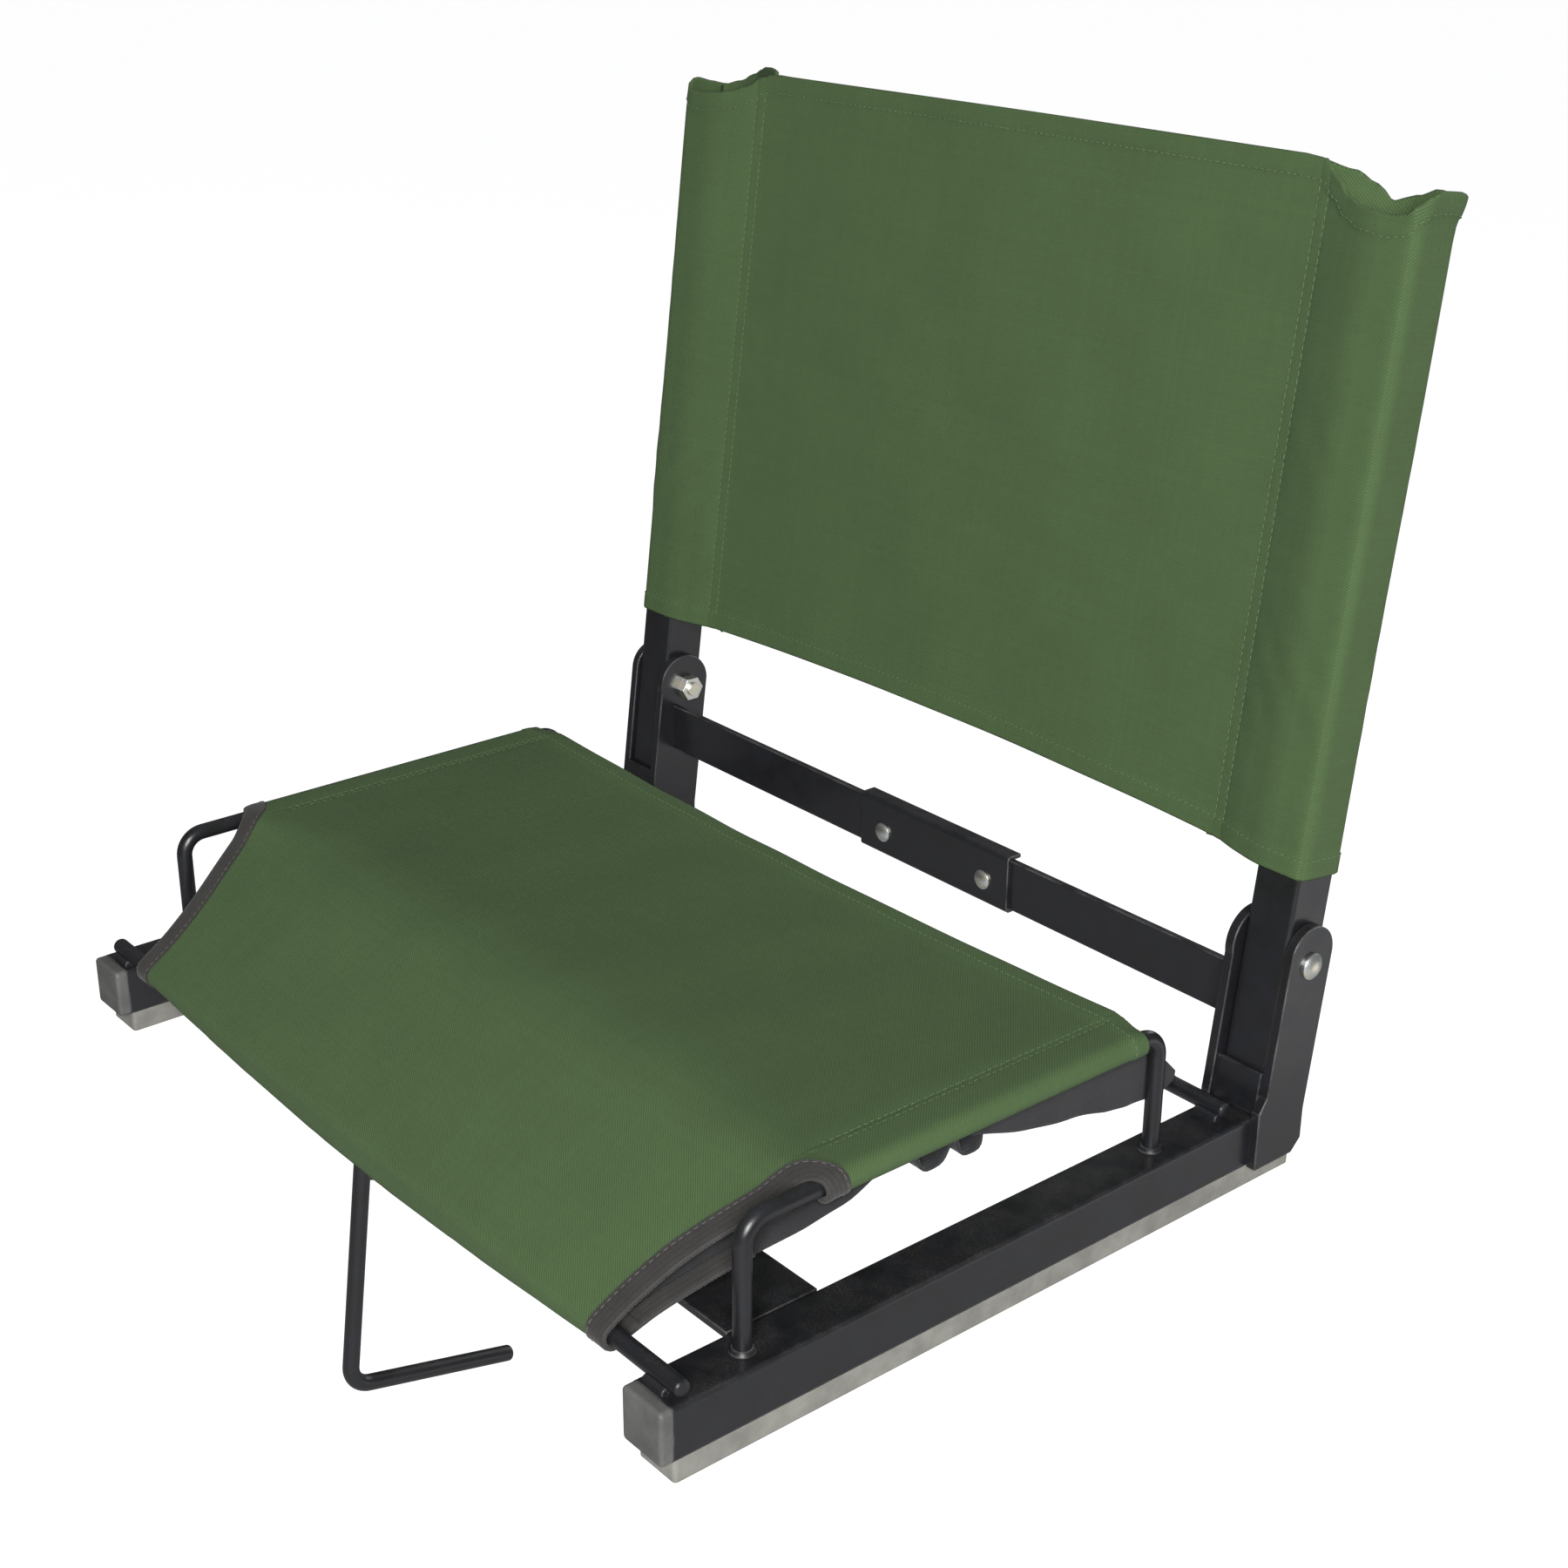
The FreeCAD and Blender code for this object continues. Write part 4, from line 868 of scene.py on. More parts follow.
MOUTH_AT = float(seat_at(MOUTH_Y))


def seat_section():
    """Line of the cloth over the right wire and back to its seam, from the middle outward."""
    outer = RAIL_X + SLEEVE_R
    under, over = WIRE_Z - SLEEVE_R, WIRE_Z + SLEEVE_R
    return bent_path([(0.0, over), (outer, over), (outer, under), (RAIL_X - 5.5, under),
                      (214.5, over - 1.5)], [SLEEVE_R - 0.1, SLEEVE_R - 0.1, 5.0])


SEAT_SECTION = seat_section()
SEAT_SIDE = lengths_of(SEAT_SECTION)[-1]


def profile_points(s, droop):
    """Side-view points for distances down the cloth, each with its own droop of the front pocket."""
    flat_s, flat_droop = s.ravel(), np.round(np.clip(droop, 0, 1).ravel() * 40) / 40
    out = np.empty((flat_s.size, 2))
    for level in np.unique(flat_droop):
        chosen = flat_droop == level
        path = seat_profile(level)
        total = lengths_of(path)[-1]
        part = (flat_s[chosen] - NOSE_AT) / (SEAT_END - NOSE_AT)
        place = np.where(part > 0, NOSE_AT + part * (total - NOSE_AT), flat_s[chosen])
        out[chosen] = along(path, place)
    return out.reshape(*s.shape, 2)


def rear_trim(u, s):
    """How far a place is moved forward because the rear hem is cut back at its corners."""
    return 3.5 * smooth_step((np.abs(u) - 212.0) / 26.0) * np.clip(1 - s / TRIM_FADE, 0, 1)


def seat_surface(u, s, sag):
    """Middle of the seat's cloth at a distance across and down."""
    u, s = np.asarray(u, float), np.asarray(s, float)
    side = np.abs(u)
    droop = np.clip(1 - (side / DROOP_HALF) ** 2, 0, 1)
    line = profile_points(s, droop)
    soft = smooth_step((212.0 - side) / 60.0) * smooth_step((NOSE_AT - 15.0 - s) / 40.0)
    line = line + soft[..., None] * (along(SOFT_PROFILE, s) - along(SEAT_PROFILE, s))
    section = along(SEAT_SECTION, side)
    wrap = 1 - smooth_step((s - MOUTH_AT - 1.0) / (seat_at(-111.0) - MOUTH_AT))
    fall = 1 - smooth_step((side - 192.0) / 33.0) * (1 - smooth_step((s - MOUTH_AT + 5.0) / 24.0))
    x = np.sign(u) * (wrap * section[..., 0] + (1 - wrap) * side)
    z = SEAT_TOP + (line[..., 1] - SEAT_TOP) * fall + (section[..., 1] - SEAT_TOP) * wrap
    z = z - 1.6 * hill(side, 230.0, 9.0) * smooth_step((13.0 - s) / 13.0)
    deep = np.interp(s, [0.0, 90.0, 184.0, 236.0, 400.0], [sag, sag * 0.62, sag * 0.30, 0.0, 0.0])
    middle = np.clip(1 - (side / 215.0) ** 2, 0, 1)
    free = smooth_step((NOSE_AT - 14.0 - s) / 40.0)
    waves = ripple(u, s, [(0.32, 118, 78, 0.3), (0.24, 74, 12, 2.2), (0.15, 43, 131, 5.0)])
    seam = hill(side, sum(SEAT_SEAMS) / 2, 6.0) * smooth_step((MOUTH_AT - s) / 12.0)
    pucker = seam * 0.14 * np.sin(2 * math.pi * s / 8.6 + u)
    z = z - deep * middle + waves * middle * free + pucker
    return np.stack([x, line[..., 0], z], -1)


def edge_curve(side):
    """The cut-away edge and the mouth of the sleeve on the flat cloth, from the pocket's tail."""
    table = EDGE_RIGHT if side > 0 else EDGE_LEFT
    start = [(table[0][0], SEAT_END), (table[0][0], NOSE_AT)]
    knots = start + [(u, float(seat_at(y))) for u, y in table[1:] + EDGE_MOUTH]
    knots = [(u, s) for u, s in knots if u < SEAT_SIDE] + [(SEAT_SIDE, MOUTH_AT)]
    return smooth_curve(np.array(knots))


def smooth_curve(knots, step=1.6):
    """A soft curve near a row of knots, evenly spaced."""
    fine = along(knots, stations([0.0, lengths_of(knots)[-1]], 1.0))
    for _ in range(24):
        fine[1:-1] = 0.25 * fine[:-2] + 0.5 * fine[1:-1] + 0.25 * fine[2:]
    return along(fine, stations([0.0, lengths_of(fine)[-1]], step))


SEAT_EDGE = {RIGHT: edge_curve(RIGHT), LEFT: edge_curve(LEFT)}


def edge_across(side, s):
    """How far the flat sheet reaches to a side at a distance down the cloth."""
    curve = SEAT_EDGE[side]
    count = int(np.argmax(curve[:, 0] > SHEET_SIDE + 6.0))
    order = np.argsort(curve[:count, 1])
    return np.interp(s, curve[:count, 1][order], curve[:count, 0][order])


def edge_down(side, u):
    """How far down the flat cloth the sleeve reaches at a distance across."""
    curve = SEAT_EDGE[side]
    start = int(np.argmax(curve[:, 0] > SHEET_SIDE - 6.0))
    return np.interp(u, curve[start:, 0], curve[start:, 1])


def seat_rows(width, shared):
    """Rows down the cloth, and how many end with the level part and with the sleeve's mouth."""
    level_end = float(seat_at(LEVEL_END_Y))
    level = hem_steps(width) + list(stations([width + 1.2, level_end], 9.0)[1:])
    mouth = list(np.linspace(level_end, shared, 12)[1:])
    slope = list(stations([shared, NOSE_AT - 12.0], 5.5)[1:])
    nose = list(stations([NOSE_AT - 12.0, SEAT_END], 1.5)[1:])
    return np.array(level + mouth + slope + nose), len(level), len(level + mouth)


def seat_sleeve(side, rows, level_count, shared):
    """Flat places, across and down, from the sheet's side round the wire to the seam."""
    columns = stations([SHEET_SIDE, SEAT_SIDE], 2.4)[1:]
    down = np.repeat(rows[:, None], len(columns), 1)
    start = rows[level_count - 1]
    front = np.minimum(edge_down(side, columns), shared)
    part = (down[level_count:] - start) / (shared - start)
    down[level_count:] = start + part * (front - start)
    return np.repeat(side * columns[None], len(rows), 0), down


def seat_cloth(sizes, material):
    seams = [sign * seam for sign in (RIGHT, LEFT) for seam in SEAT_SEAMS]
    columns = stations([-SHEET_SIDE, -NOTCH_HALF, NOTCH_HALF, SHEET_SIDE], 8.0, seams)
    shared = max(float(np.interp(SHEET_SIDE, *SEAT_EDGE[side].T)) for side in (RIGHT, LEFT))
    rows, level_count, sleeve_count = seat_rows(sizes.hem_width / MM, shared)
    s, u = np.meshgrid(rows, columns, indexing="ij")
    for side in (RIGHT, LEFT):
        inside = np.where(s > shared, edge_across(side, s) - SHEET_SIDE, 0.0)
        u = u + side * inside * np.clip(side * u / SHEET_SIDE, 0, 1) ** 3
    half = hem_half(np.minimum(s, CLEAR_OF_HEM), sizes)
    s = s + rear_trim(u, s)
    for seam in SEAT_SEAMS:
        half = half - seam_dip(np.abs(u) - seam) * (s < MOUTH_AT)
    half = half + 0.15 * smooth_step((s - NOSE_AT + 2.0) / 4.0)
    ids = np.arange(u.size).reshape(u.shape)
    pocket = profile_points(rows, np.ones_like(rows))
    lowest = int(np.argmin(np.where(rows > NOSE_AT, pocket[:, 1], 1e3)))
    middle = (columns[:-1] + columns[1:]) / 2
    notch = (np.arange(len(rows) - 1) >= lowest)[:, None] & (np.abs(middle) < NOTCH_HALF)
    quads = [grid_faces(ids)[~notch.ravel()]]
    parts = [(u, s, half)]
    count = u.size
    for side in (RIGHT, LEFT):
        across, down = seat_sleeve(side, rows[:sleeve_count], level_count, shared)
        sleeve_half = hem_half(np.minimum(down, CLEAR_OF_HEM), sizes)
        parts.append((across, down + rear_trim(across, down), sleeve_half))
        joined = ids[:sleeve_count, -1 if side > 0 else 0][:, None]
        full = np.concatenate([joined, count + np.arange(across.size).reshape(across.shape)], 1)
        quads.append(grid_faces(full if side > 0 else full[:, ::-1]))
        count += across.size
    points = np.concatenate([seat_surface(x, y, sizes.sag / MM).reshape(-1, 3) for x, y, _ in parts])
    flats = np.concatenate([np.stack([x, y], -1).reshape(-1, 2) for x, y, _ in parts])
    halves = np.concatenate([np.maximum(part_half, THINNEST).ravel() for _, _, part_half in parts])
    quads, points, flats, halves = drop_unused(np.concatenate(quads)[:, ::-1], points, flats, halves)
    return cloth_piece("seat_cloth", points, quads, halves, flats, material, "frame",
                       ["seat_canvas"])


def surface_normal(surface, u, s, step=0.3):
    """Upward normals of a cloth surface that is given as a function of across and down."""
    east = surface(u + step, s) - surface(u - step, s)
    south = surface(u, s + step) - surface(u, s - step)
    return unit(np.cross(south, east))


def folded_tape(name, curve, surface, sizes, layer_half, width, material, nodes, inward):
    """Tape folded over an edge of cloth, its two legs lying on the cloth's two faces."""
    ahead = unit(np.gradient(curve, axis=0))
    inner = np.stack([-ahead[:, 1], ahead[:, 0]], -1) * inward
    thick = sizes.tape / MM / 2
    lift = layer_half + thick + 0.04
    across = stations([0.0, width], 1.8)
    legs = [(distance, lift) for distance in across[::-1]]
    turn = [(-0.62 * lift, lift * 0.80), (-lift, 0.0), (-0.62 * lift, -lift * 0.80)]
    legs += turn + [(distance, -lift) for distance in across]
    run = lengths_of(np.array(legs))
    points = np.empty((len(curve), len(legs), 3))
    flats = np.empty((len(curve), len(legs), 2))
    down = lengths_of(curve)
    for k, (distance, offset) in enumerate(legs):
        inside = max(distance, 0.0)
        base = curve + inner * inside
        middle = surface(base[:, 0], base[:, 1])
        normal = surface_normal(surface, base[:, 0], base[:, 1])
        points[:, k] = middle + normal * offset
        if distance < 0:
            along_edge = np.gradient(middle, axis=0)
            out = unit(np.cross(along_edge, normal))
            inside_point = surface(curve[:, 0] + inner[:, 0], curve[:, 1] + inner[:, 1])
            sign = np.sign(np.sum((middle - inside_point) * out, axis=1, keepdims=True))
            points[:, k] += out * sign * -distance
        flats[:, k, 0] = run[k]
        flats[:, k, 1] = down
    ids = np.arange(points.shape[0] * points.shape[1]).reshape(points.shape[:2])
    quads = grid_faces(ids)
    flats = flats.reshape(-1, 2)
    return cloth_piece(name, points.reshape(-1, 3), quads, thick, flats, material, "frame",
                       nodes)[0]


# Cloth below the seat
UNDER_LINE = bent_path(UNDER_PATH, [30.0])
UNDER_LENGTHS = lengths_of(UNDER_LINE)


def under_at(y):
    return np.interp(y, UNDER_LINE[:, 0], UNDER_LENGTHS)


def under_surface(u, s):
    """Middle of the lower layer at a distance across and back from the front rod."""
    line = along(UNDER_LINE, s)
    side = np.abs(u)
    curl = smooth_step((side - 203.0) / 26.0) * smooth_step((line[..., 0] + 92.0) / 26.0)
    belly = np.clip(1 - (side / 230.0) ** 2, 0, 1) * smooth_step((s - 6.0) / 60.0)
    z = line[..., 1] + 3.0 * curl - 1.6 * belly
    z = z + belly * ripple(u, s, [(0.5, 88, 84, 1.0), (0.3, 47, 20, 3.1)])
    return np.stack([u, line[..., 0], z], -1)


def under_curve(side):
    table = UNDER_RIGHT if side > 0 else UNDER_LEFT
    return smooth_curve(np.array([(u, float(under_at(y))) for u, y in table]))


def under_cloth(sizes, material):
    edges = {side: under_curve(side) for side in (RIGHT, LEFT)}
    columns = stations([-UNDER_SIDE, -NOTCH_HALF, NOTCH_HALF, UNDER_SIDE], 9.0)
    notch_at = float(under_at(UNDER_NOTCH_Y))
    rows = stations([0.0, notch_at, UNDER_LENGTHS[-1]], 4.5)
    s, u = np.meshgrid(rows, columns, indexing="ij")
    for side in (RIGHT, LEFT):
        reach = np.interp(s, edges[side][:, 1], edges[side][:, 0]) - UNDER_SIDE
        u = u + side * reach * np.clip(side * u / UNDER_SIDE, 0, 1) ** 3
    middle = (columns[:-1] + columns[1:]) / 2
    notch = (rows[:-1] < notch_at - 0.1)[:, None] & (np.abs(middle) < NOTCH_HALF)
    quads = grid_faces(np.arange(u.size).reshape(u.shape))[~notch.ravel()]
    quads, points, flat = drop_unused(quads, under_surface(u, s).reshape(-1, 3),
                                      np.stack([u, s], -1).reshape(-1, 2))
    return cloth_piece("under_cloth", points, quads, sizes.cloth / MM / 2, flat, material, "frame",
                       ["under_panel"])


def flap_cloth(side, sizes, material, name, node_name):
    """Loose skirt under a sleeve, a little wavy at its foot."""
    part = np.linspace(0, 1, 46)
    head, foot = (smooth_curve(np.array(table), 3.0) for table in (FLAP_TOP, FLAP_FOOT))
    head, foot = (along(line, part * lengths_of(line)[-1]) for line in (head, foot))
    rows = np.linspace(0, 1, 12)
    flat = head[None] + (foot - head)[None] * rows[:, None, None]
    wave = ripple(flat[..., 0], flat[..., 1], [(1.1, 52, 8, 0.6), (0.5, 27, 24, 2.0)])
    x = FLAP_X + 0.5 * np.sin(part * 3.0)[None] - wave * smooth_step(rows * 1.2)[:, None]
    x = np.minimum(x, FLAP_X_MOST)
    points = np.stack([side * x, flat[..., 0], flat[..., 1]], -1)
    quads = grid_faces(np.arange(x.size).reshape(x.shape))
    from_edge = np.minimum(np.minimum(rows, 1 - rows) * 24.0, 12.0)
    half = sizes.cloth / MM / 2 + 0.30 * (1 - smooth_step((from_edge - 3.5) / 1.0)) * (rows > 0.5)
    return cloth_piece(name, points.reshape(-1, 3), quads if side > 0 else quads[:, ::-1],
                       np.repeat(half, len(part)), flat.reshape(-1, 2), material, "frame",
                       [node_name])


# Webbing
def webbing_piece(name, path, width_axis, low, high, sizes, material, nodes):
    """A flat strap that follows a path, with slightly thicker edges."""
    run = stations([0.0, lengths_of(path)[-1]], 2.2)
    line = along(path, run)
    across = stations([low, low + 1.2, high - 1.2, high], 3.0)
    points = np.empty((len(run), len(across), 3))
    for k, value in enumerate(across):
        if width_axis == "y":
            points[:, k] = np.stack([line[:, 0], np.full(len(run), value), line[:, 1]], -1)
        else:
            points[:, k] = np.stack([np.full(len(run), value), line[:, 0], line[:, 1]], -1)
    ids = np.arange(len(run) * len(across)).reshape(len(run), len(across))
    flats = np.stack(np.meshgrid(across - low, run, indexing="xy"), -1).reshape(-1, 2)
    rim = np.minimum(across - low, high - across)
    half = sizes.webbing / MM / 2 - 0.12 * smooth_step((rim - 0.8) / 1.0)
    return cloth_piece(name, points.reshape(-1, 3), grid_faces(ids), np.tile(half, len(run)), flats,
                       material, "frame", nodes)


# Stitches
def stitch_shape(sizes):
    """One stitch along x: a short thread whose ends dive into the cloth."""
    length, radius = sizes.stitch / MM, sizes.thread / MM
    rings = [(-0.50, 0.35, -0.35), (-0.40, 0.80, -0.10), (-0.2, 1.0, 0.10), (0.2, 1.0, 0.10),
             (0.40, 0.80, -0.10), (0.50, 0.35, -0.35)]
    verts, uv = [], []
    for place, size, rise in rings:
        for k in range(6):
            angle = math.pi * k / 3
            verts.append((place * length, math.cos(angle) * radius * size,
                          math.sin(angle) * radius * size + rise * radius * 2))
            uv.append((place * length, k * radius))
    faces = [(a * 6 + k, a * 6 + (k + 1) % 6, (a + 1) * 6 + (k + 1) % 6, (a + 1) * 6 + k)
             for a in range(len(rings) - 1) for k in range(6)]
    last = (len(rings) - 1) * 6
    return np.array(verts), [f[::-1] for f in faces] + [tuple(range(6)), tuple(
        last + k for k in range(5, -1, -1))], np.array(uv)


def stitched(name, runs, sizes, material, body):
    """Stitches along runs of (points, outward normals) at an even pitch."""
    shape, faces, shape_uv = stitch_shape(sizes)
    verts, all_faces, uvs = [], [], []
    pitch = sizes.stitch_pitch / MM
    base = 0
    for points, normals in runs:
        lengths = lengths_of(points)
        places = np.arange(pitch, lengths[-1] - pitch / 2, pitch)
        centre = along(points, places)
        ahead = unit(along(points, places + 0.5) - along(points, places - 0.5))
        normal = np.stack([np.interp(places, lengths, normals[:, k]) for k in range(3)], -1)
        normal = unit(normal - ahead * np.sum(normal * ahead, axis=1, keepdims=True))
        side = np.cross(normal, ahead)
        block = (centre[:, None] + shape[None, :, 0:1] * ahead[:, None]
                 + shape[None, :, 1:2] * side[:, None] + shape[None, :, 2:3] * normal[:, None])
        for k in range(len(places)):
            verts.append(block[k])
            uvs.append(shape_uv)
            all_faces += [tuple(i + base for i in face) for face in faces]
            base += len(shape)
    return make_piece(name, np.concatenate(verts), all_faces, np.concatenate(uvs), material, body)


def back_run(u, s, face, sizes, half):
    """A line of stitches on the front (1) or the rear (-1) face of the back canvas."""
    points, out = back_surface(u, s, sizes.bow / MM)
    placed = lean_back(points + out * half * face)
    cos, sin = math.cos(RECLINE), math.sin(RECLINE)
    normal = np.stack([out[:, 0], out[:, 1] * cos, -out[:, 1] * sin], -1) * face
    return placed, normal


def seat_run(u, s, face, sizes, lift):
    """A line of stitches on the upper (1) or lower (-1) face of the seat canvas."""
    def surface(across, down):
        return seat_surface(across, down, sizes.sag / MM)

    normal = surface_normal(surface, u, s) * face
    return surface(u, s) + normal * lift, normal


# Operators
class SeatFinishesOperator(bpy.types.Operator):
    """Make every finish and give the metal, plastic and rubber parts theirs"""
    bl_idname = "stadium_seat.finishes"
    bl_label = "Finishes and hard parts"

    def execute(self, context):
        given = context.scene.seat_finishes
        build_weave_group()
        build_mottle_group()
        build_edge_mask_and_dust_group()
        build_grain_group()
        woven_material("Green canvas", tuple(given.canvas), given.weave, 0.035, 0.03)
        woven_material("Dark cloth", tuple(given.dark_cloth), given.weave * 0.7, 0.10, 0.08)
        ribbed_material("Edge tape", tuple(given.tape), 0.0026, 0.0009, 0.16)
        ribbed_material("Strap webbing", tuple(given.webbing), 0.0022, 0.0011, 0.14)
        thread_material("Canvas thread", tuple(given.canvas_thread))
        thread_material("Tape thread", tuple(given.tape_thread))
        finishes = {
            "black_steel": coated_material("Powder coat", tuple(given.steel), 0.33, 1100.0, 0.0013,
                                           0.20, 0.14),
            "zinc_steel": zinc_material("Zinc plate", tuple(given.zinc)),
            "cap_plastic": moulded_material("Rail cap plastic", tuple(given.caps), 0.52, 1300.0, 2.4),
            "plug_plastic": moulded_material("Tube plug plastic", tuple(given.plugs), 0.55, 1300.0, 1.8),
            "grip_rubber": moulded_material("Grip rubber", tuple(given.strips), 0.78, 900.0, 1.15),
            "buckle_plastic": moulded_material("Buckle plastic", tuple(given.buckle), 0.42, 1500.0, 2.0),
            "bush_plastic": moulded_material("Bush nylon", tuple(given.bush), 0.48, 1500.0, 1.1),
        }
        slots = {row["node"]: row["material_slot"] for row in frame["record"]["subparts"]}
        for name, piece in frame["nodes"].items():
            slot_name = slots[name]
            if name.startswith("front_cap"):
                slot_name = "cap_plastic"
            if slot_name in finishes:
                if not piece.material_slots:
                    raise RuntimeError(name + " has no material slot")
                for place in piece.material_slots:
                    place.material = finishes[slot_name]
        return {"FINISHED"}


class BackClothOperator(bpy.types.Operator):
    """Hang the back canvas on the two back tubes"""
    bl_idname = "stadium_seat.back_cloth"
    bl_label = "Back canvas"

    def execute(self, context):
        sizes = context.scene.seat_sizes
        piece, size, area = back_cloth(sizes, material_named("Green canvas"))
        return {"FINISHED"}


class SeatClothOperator(bpy.types.Operator):
    """Sling the seat canvas between the seat wires and round the front rod, with its edge tapes"""
    bl_idname = "stadium_seat.seat_cloth"
    bl_label = "Seat canvas and edge tapes"

    def execute(self, context):
        sizes = context.scene.seat_sizes
        piece, size, area = seat_cloth(sizes, material_named("Green canvas"))
        for side, label in ((RIGHT, "right"), (LEFT, "left")):
            curve = SEAT_EDGE[side] * np.array([side, 1.0])
            folded_tape(
                "seat_tape_" + label, curve,
                lambda u, s: seat_surface(u, s, sizes.sag / MM), sizes, sizes.cloth / MM / 2 + 0.12,
                sizes.tape_width / MM, material_named("Edge tape"), ["seat_binding_" + label],
                -side)
        return {"FINISHED"}


class UnderClothOperator(bpy.types.Operator):
    """Lay the dark lower layer and the side skirts below the seat"""
    bl_idname = "stadium_seat.under_cloth"
    bl_label = "Cloth below the seat"

    def execute(self, context):
        sizes = context.scene.seat_sizes
        piece, size, area = under_cloth(sizes, material_named("Dark cloth"))
        for side, label in ((RIGHT, "right"), (LEFT, "left")):
            curve = under_curve(side)
            curve = curve[curve[:, 1] < under_at(UNDER_TAPE_END_Y)] * np.array([side, 1.0])
            folded_tape("under_tape_" + label, curve, under_surface, sizes,
                                     sizes.cloth / MM / 2, UNDER_TAPE_WIDTH, material_named("Edge tape"),
                                     ["under_binding_" + label], side)
            flap, flap_size, flap_area = flap_cloth(side, sizes, material_named("Dark cloth"),
                                                    "side_skirt_" + label, "side_flap_" + label)
        return {"FINISHED"}


class WebbingOperator(bpy.types.Operator):
    """Thread the strap below the seat and hang its free end beside the buckle"""
    bl_idname = "stadium_seat.webbing"
    bl_label = "Strap webbing"

    def execute(self, context):
        sizes = context.scene.seat_sizes
        material = material_named("Strap webbing")
        for name, corners, bends, width_axis, ends, held, rest, nodes in STRAPS:
            strap, size, area = webbing_piece(name, bent_path(corners, bends), width_axis, *ends, sizes,
                                              material, nodes)
        return {"FINISHED"}


class StitchingOperator(bpy.types.Operator):
    """Sew the hems, the sleeve seams and the edge tapes"""
    bl_idname = "stadium_seat.stitching"
    bl_label = "Stitching"

    def execute(self, context):
        sizes = context.scene.seat_sizes
        width = sizes.hem_width / MM
        thin, thick = sizes.cloth / MM / 2 - 0.08, sizes.hem / MM / 2 - 0.20
        runs = []
        for side in (RIGHT, LEFT):
            for seam in BACK_SEAMS:
                u = np.full(160, side * seam)
                foot, head = float(back_foot(u[:1])[0]), float(back_head(u[:1])[0])
                runs.append(back_run(u, np.linspace(foot + 2, head - 2, 160), 1, sizes, thin))
        for reach, count, face in ((BACK_HEM_REACH, 700, 1), (BACK_REAR_REACH, 300, -1)):
            across = np.linspace(-reach, reach, count)
            runs.append(back_run(across, back_head(across) - width, face, sizes, thick))
            runs.append(back_run(across, back_foot(across) + width, face, sizes, thick))
        thread = material_named("Canvas thread")
        stitched("back_stitching", runs, sizes, thread, "backrest")
        runs = []
        for side in (RIGHT, LEFT):
            for seam in SEAT_SEAMS:
                s = np.linspace(4.5, MOUTH_AT - 12.0, 120)
                runs.append(seat_run(np.full(120, side * seam), s, 1, sizes, thin))
        for face, reach in SEAT_HEM_REACH.items():
            across = np.linspace(-reach, reach, 520)
            runs.append(seat_run(across, width + rear_trim(across, width), face, sizes, thick))
        stitched("seat_stitching", runs, sizes, thread, "frame")
        runs = []
        inset = sizes.tape_width / MM - 1.5
        for side in (RIGHT, LEFT):
            curve = SEAT_EDGE[side]
            ahead = unit(np.gradient(curve, axis=0))
            inner = np.stack([ahead[:, 1], -ahead[:, 0]], -1)
            line = curve + inner * inset
            for face in (1, -1):
                runs.append(seat_run(line[:, 0] * side, line[:, 1], face, sizes, thin + 0.85))
        stitched("tape_stitching", runs, sizes, material_named("Tape thread"), "frame")
        return {"FINISHED"}


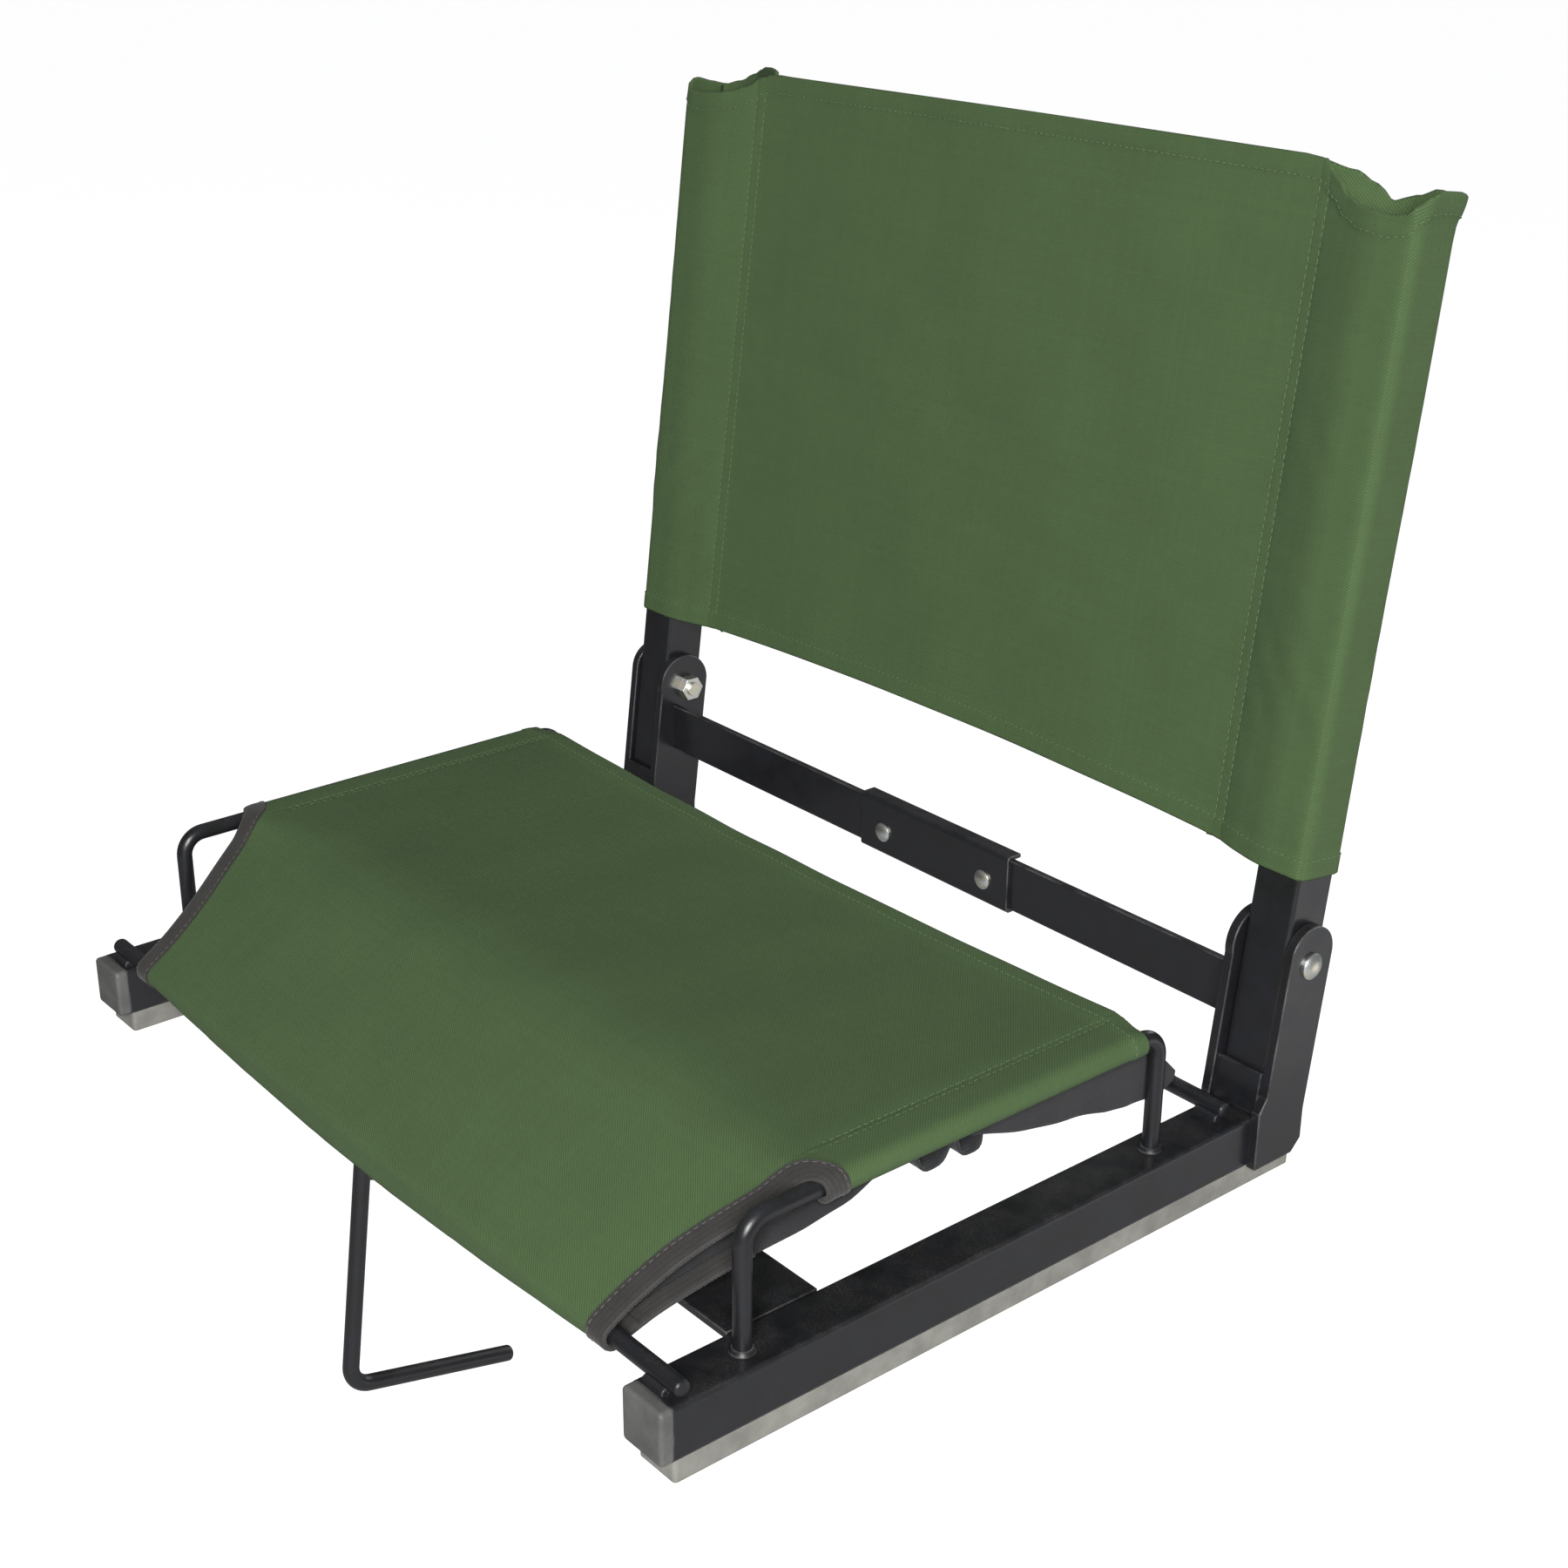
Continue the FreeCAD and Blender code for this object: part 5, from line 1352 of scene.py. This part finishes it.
class StageOperator(bpy.types.Operator):
    """Put up the floor, the soft lights and the camera"""
    bl_idname = "stadium_seat.stage"
    bl_label = "Studio stage"

    def execute(self, context):
        given = context.scene.seat_stage
        scene = context.scene
        turns = [2 * math.pi * k / FLOOR_CORNERS for k in range(FLOOR_CORNERS)]
        ring = [(FLOOR_RADIUS * math.cos(turn), FLOOR_RADIUS * math.sin(turn), -given.floor_drop)
                for turn in turns]
        mesh = bpy.data.meshes.new("studio_floor")
        mesh.from_pydata(ring, [], [tuple(range(FLOOR_CORNERS))])
        mesh.materials.append(floor_material("Studio floor", tuple(given.floor), given.glow))
        floor = bpy.data.objects.new("studio_floor", mesh)
        scene.collection.objects.link(floor)
        for name, setting, size, place, target in LIGHTS:
            self.soft_light(name, getattr(given, setting), size, place, target)
        world = bpy.data.worlds.new("Pale studio")
        world.use_nodes = True
        sky = world.node_tree.nodes["Background"]
        sky.inputs[0].default_value = (0.95, 0.97, 1.0, 1.0)
        seen = world.node_tree.nodes.new("ShaderNodeLightPath").outputs["Is Camera Ray"]
        brightness = calc(world.node_tree, "MULTIPLY_ADD", seen, 1.1, given.ambient)
        world.node_tree.links.new(brightness, sky.inputs[1])
        scene.world = world
        scene.view_settings.view_transform = "Standard"
        camera = bpy.data.cameras.new("photo_camera")
        camera.lens = given.lens
        camera.sensor_width = 36.0
        camera.clip_start = 0.05
        camera.clip_end = 100.0
        holder = bpy.data.objects.new("photo_camera", camera)
        scene.collection.objects.link(holder)
        axes = zip(CAMERA_RIGHT, CAMERA_UP, CAMERA_BACK, CAMERA_PLACE)
        holder.matrix_world = Matrix([*axes, (0, 0, 0, 1)])
        scene.camera = holder
        return {"FINISHED"}

    def soft_light(self, name, power, size, place, target):
        light = bpy.data.lights.new(name, "AREA")
        light.energy = power
        light.size = size
        holder = bpy.data.objects.new(name, light)
        holder.visible_camera = False
        bpy.context.scene.collection.objects.link(holder)
        aim = Vector(target) - Vector(place)
        holder.location = place
        holder.rotation_euler = aim.to_track_quat("-Z", "Y").to_euler()


class StadiumSeatPanel(bpy.types.Panel):
    """Pieces of the stadium seat"""
    bl_idname = "VIEW3D_PT_stadium_seat"
    bl_label = "Stadium seat"
    bl_space_type = "VIEW_3D"
    bl_region_type = "UI"
    bl_category = "Stadium seat"

    def draw(self, context):
        for step in STEPS:
            self.layout.operator(step.bl_idname)
        for group in ("seat_sizes", "seat_finishes", "seat_stage"):
            settings = getattr(context.scene, group)
            box = self.layout.box()
            for key in settings.__annotations__:
                box.prop(settings, key)


STEPS = (SeatFinishesOperator, BackClothOperator, SeatClothOperator, UnderClothOperator,
         WebbingOperator, StitchingOperator, StageOperator)
CLASSES = (SeatSizes, SeatFinishes, SeatStage) + STEPS + (StadiumSeatPanel,)


def register():
    for item in CLASSES:
        bpy.utils.register_class(item)
    bpy.types.Scene.seat_sizes = PointerProperty(type=SeatSizes)
    bpy.types.Scene.seat_finishes = PointerProperty(type=SeatFinishes)
    bpy.types.Scene.seat_stage = PointerProperty(type=SeatStage)


def unregister():
    del bpy.types.Scene.seat_stage
    del bpy.types.Scene.seat_finishes
    del bpy.types.Scene.seat_sizes
    for item in reversed(CLASSES):
        bpy.utils.unregister_class(item)


def main():
    register()
    bpy.ops.stadium_seat.finishes()
    bpy.ops.stadium_seat.back_cloth()
    bpy.ops.stadium_seat.seat_cloth()
    bpy.ops.stadium_seat.under_cloth()
    bpy.ops.stadium_seat.webbing()
    bpy.ops.stadium_seat.stitching()
    bpy.ops.stadium_seat.stage()


if __name__ == "__main__":
    main()
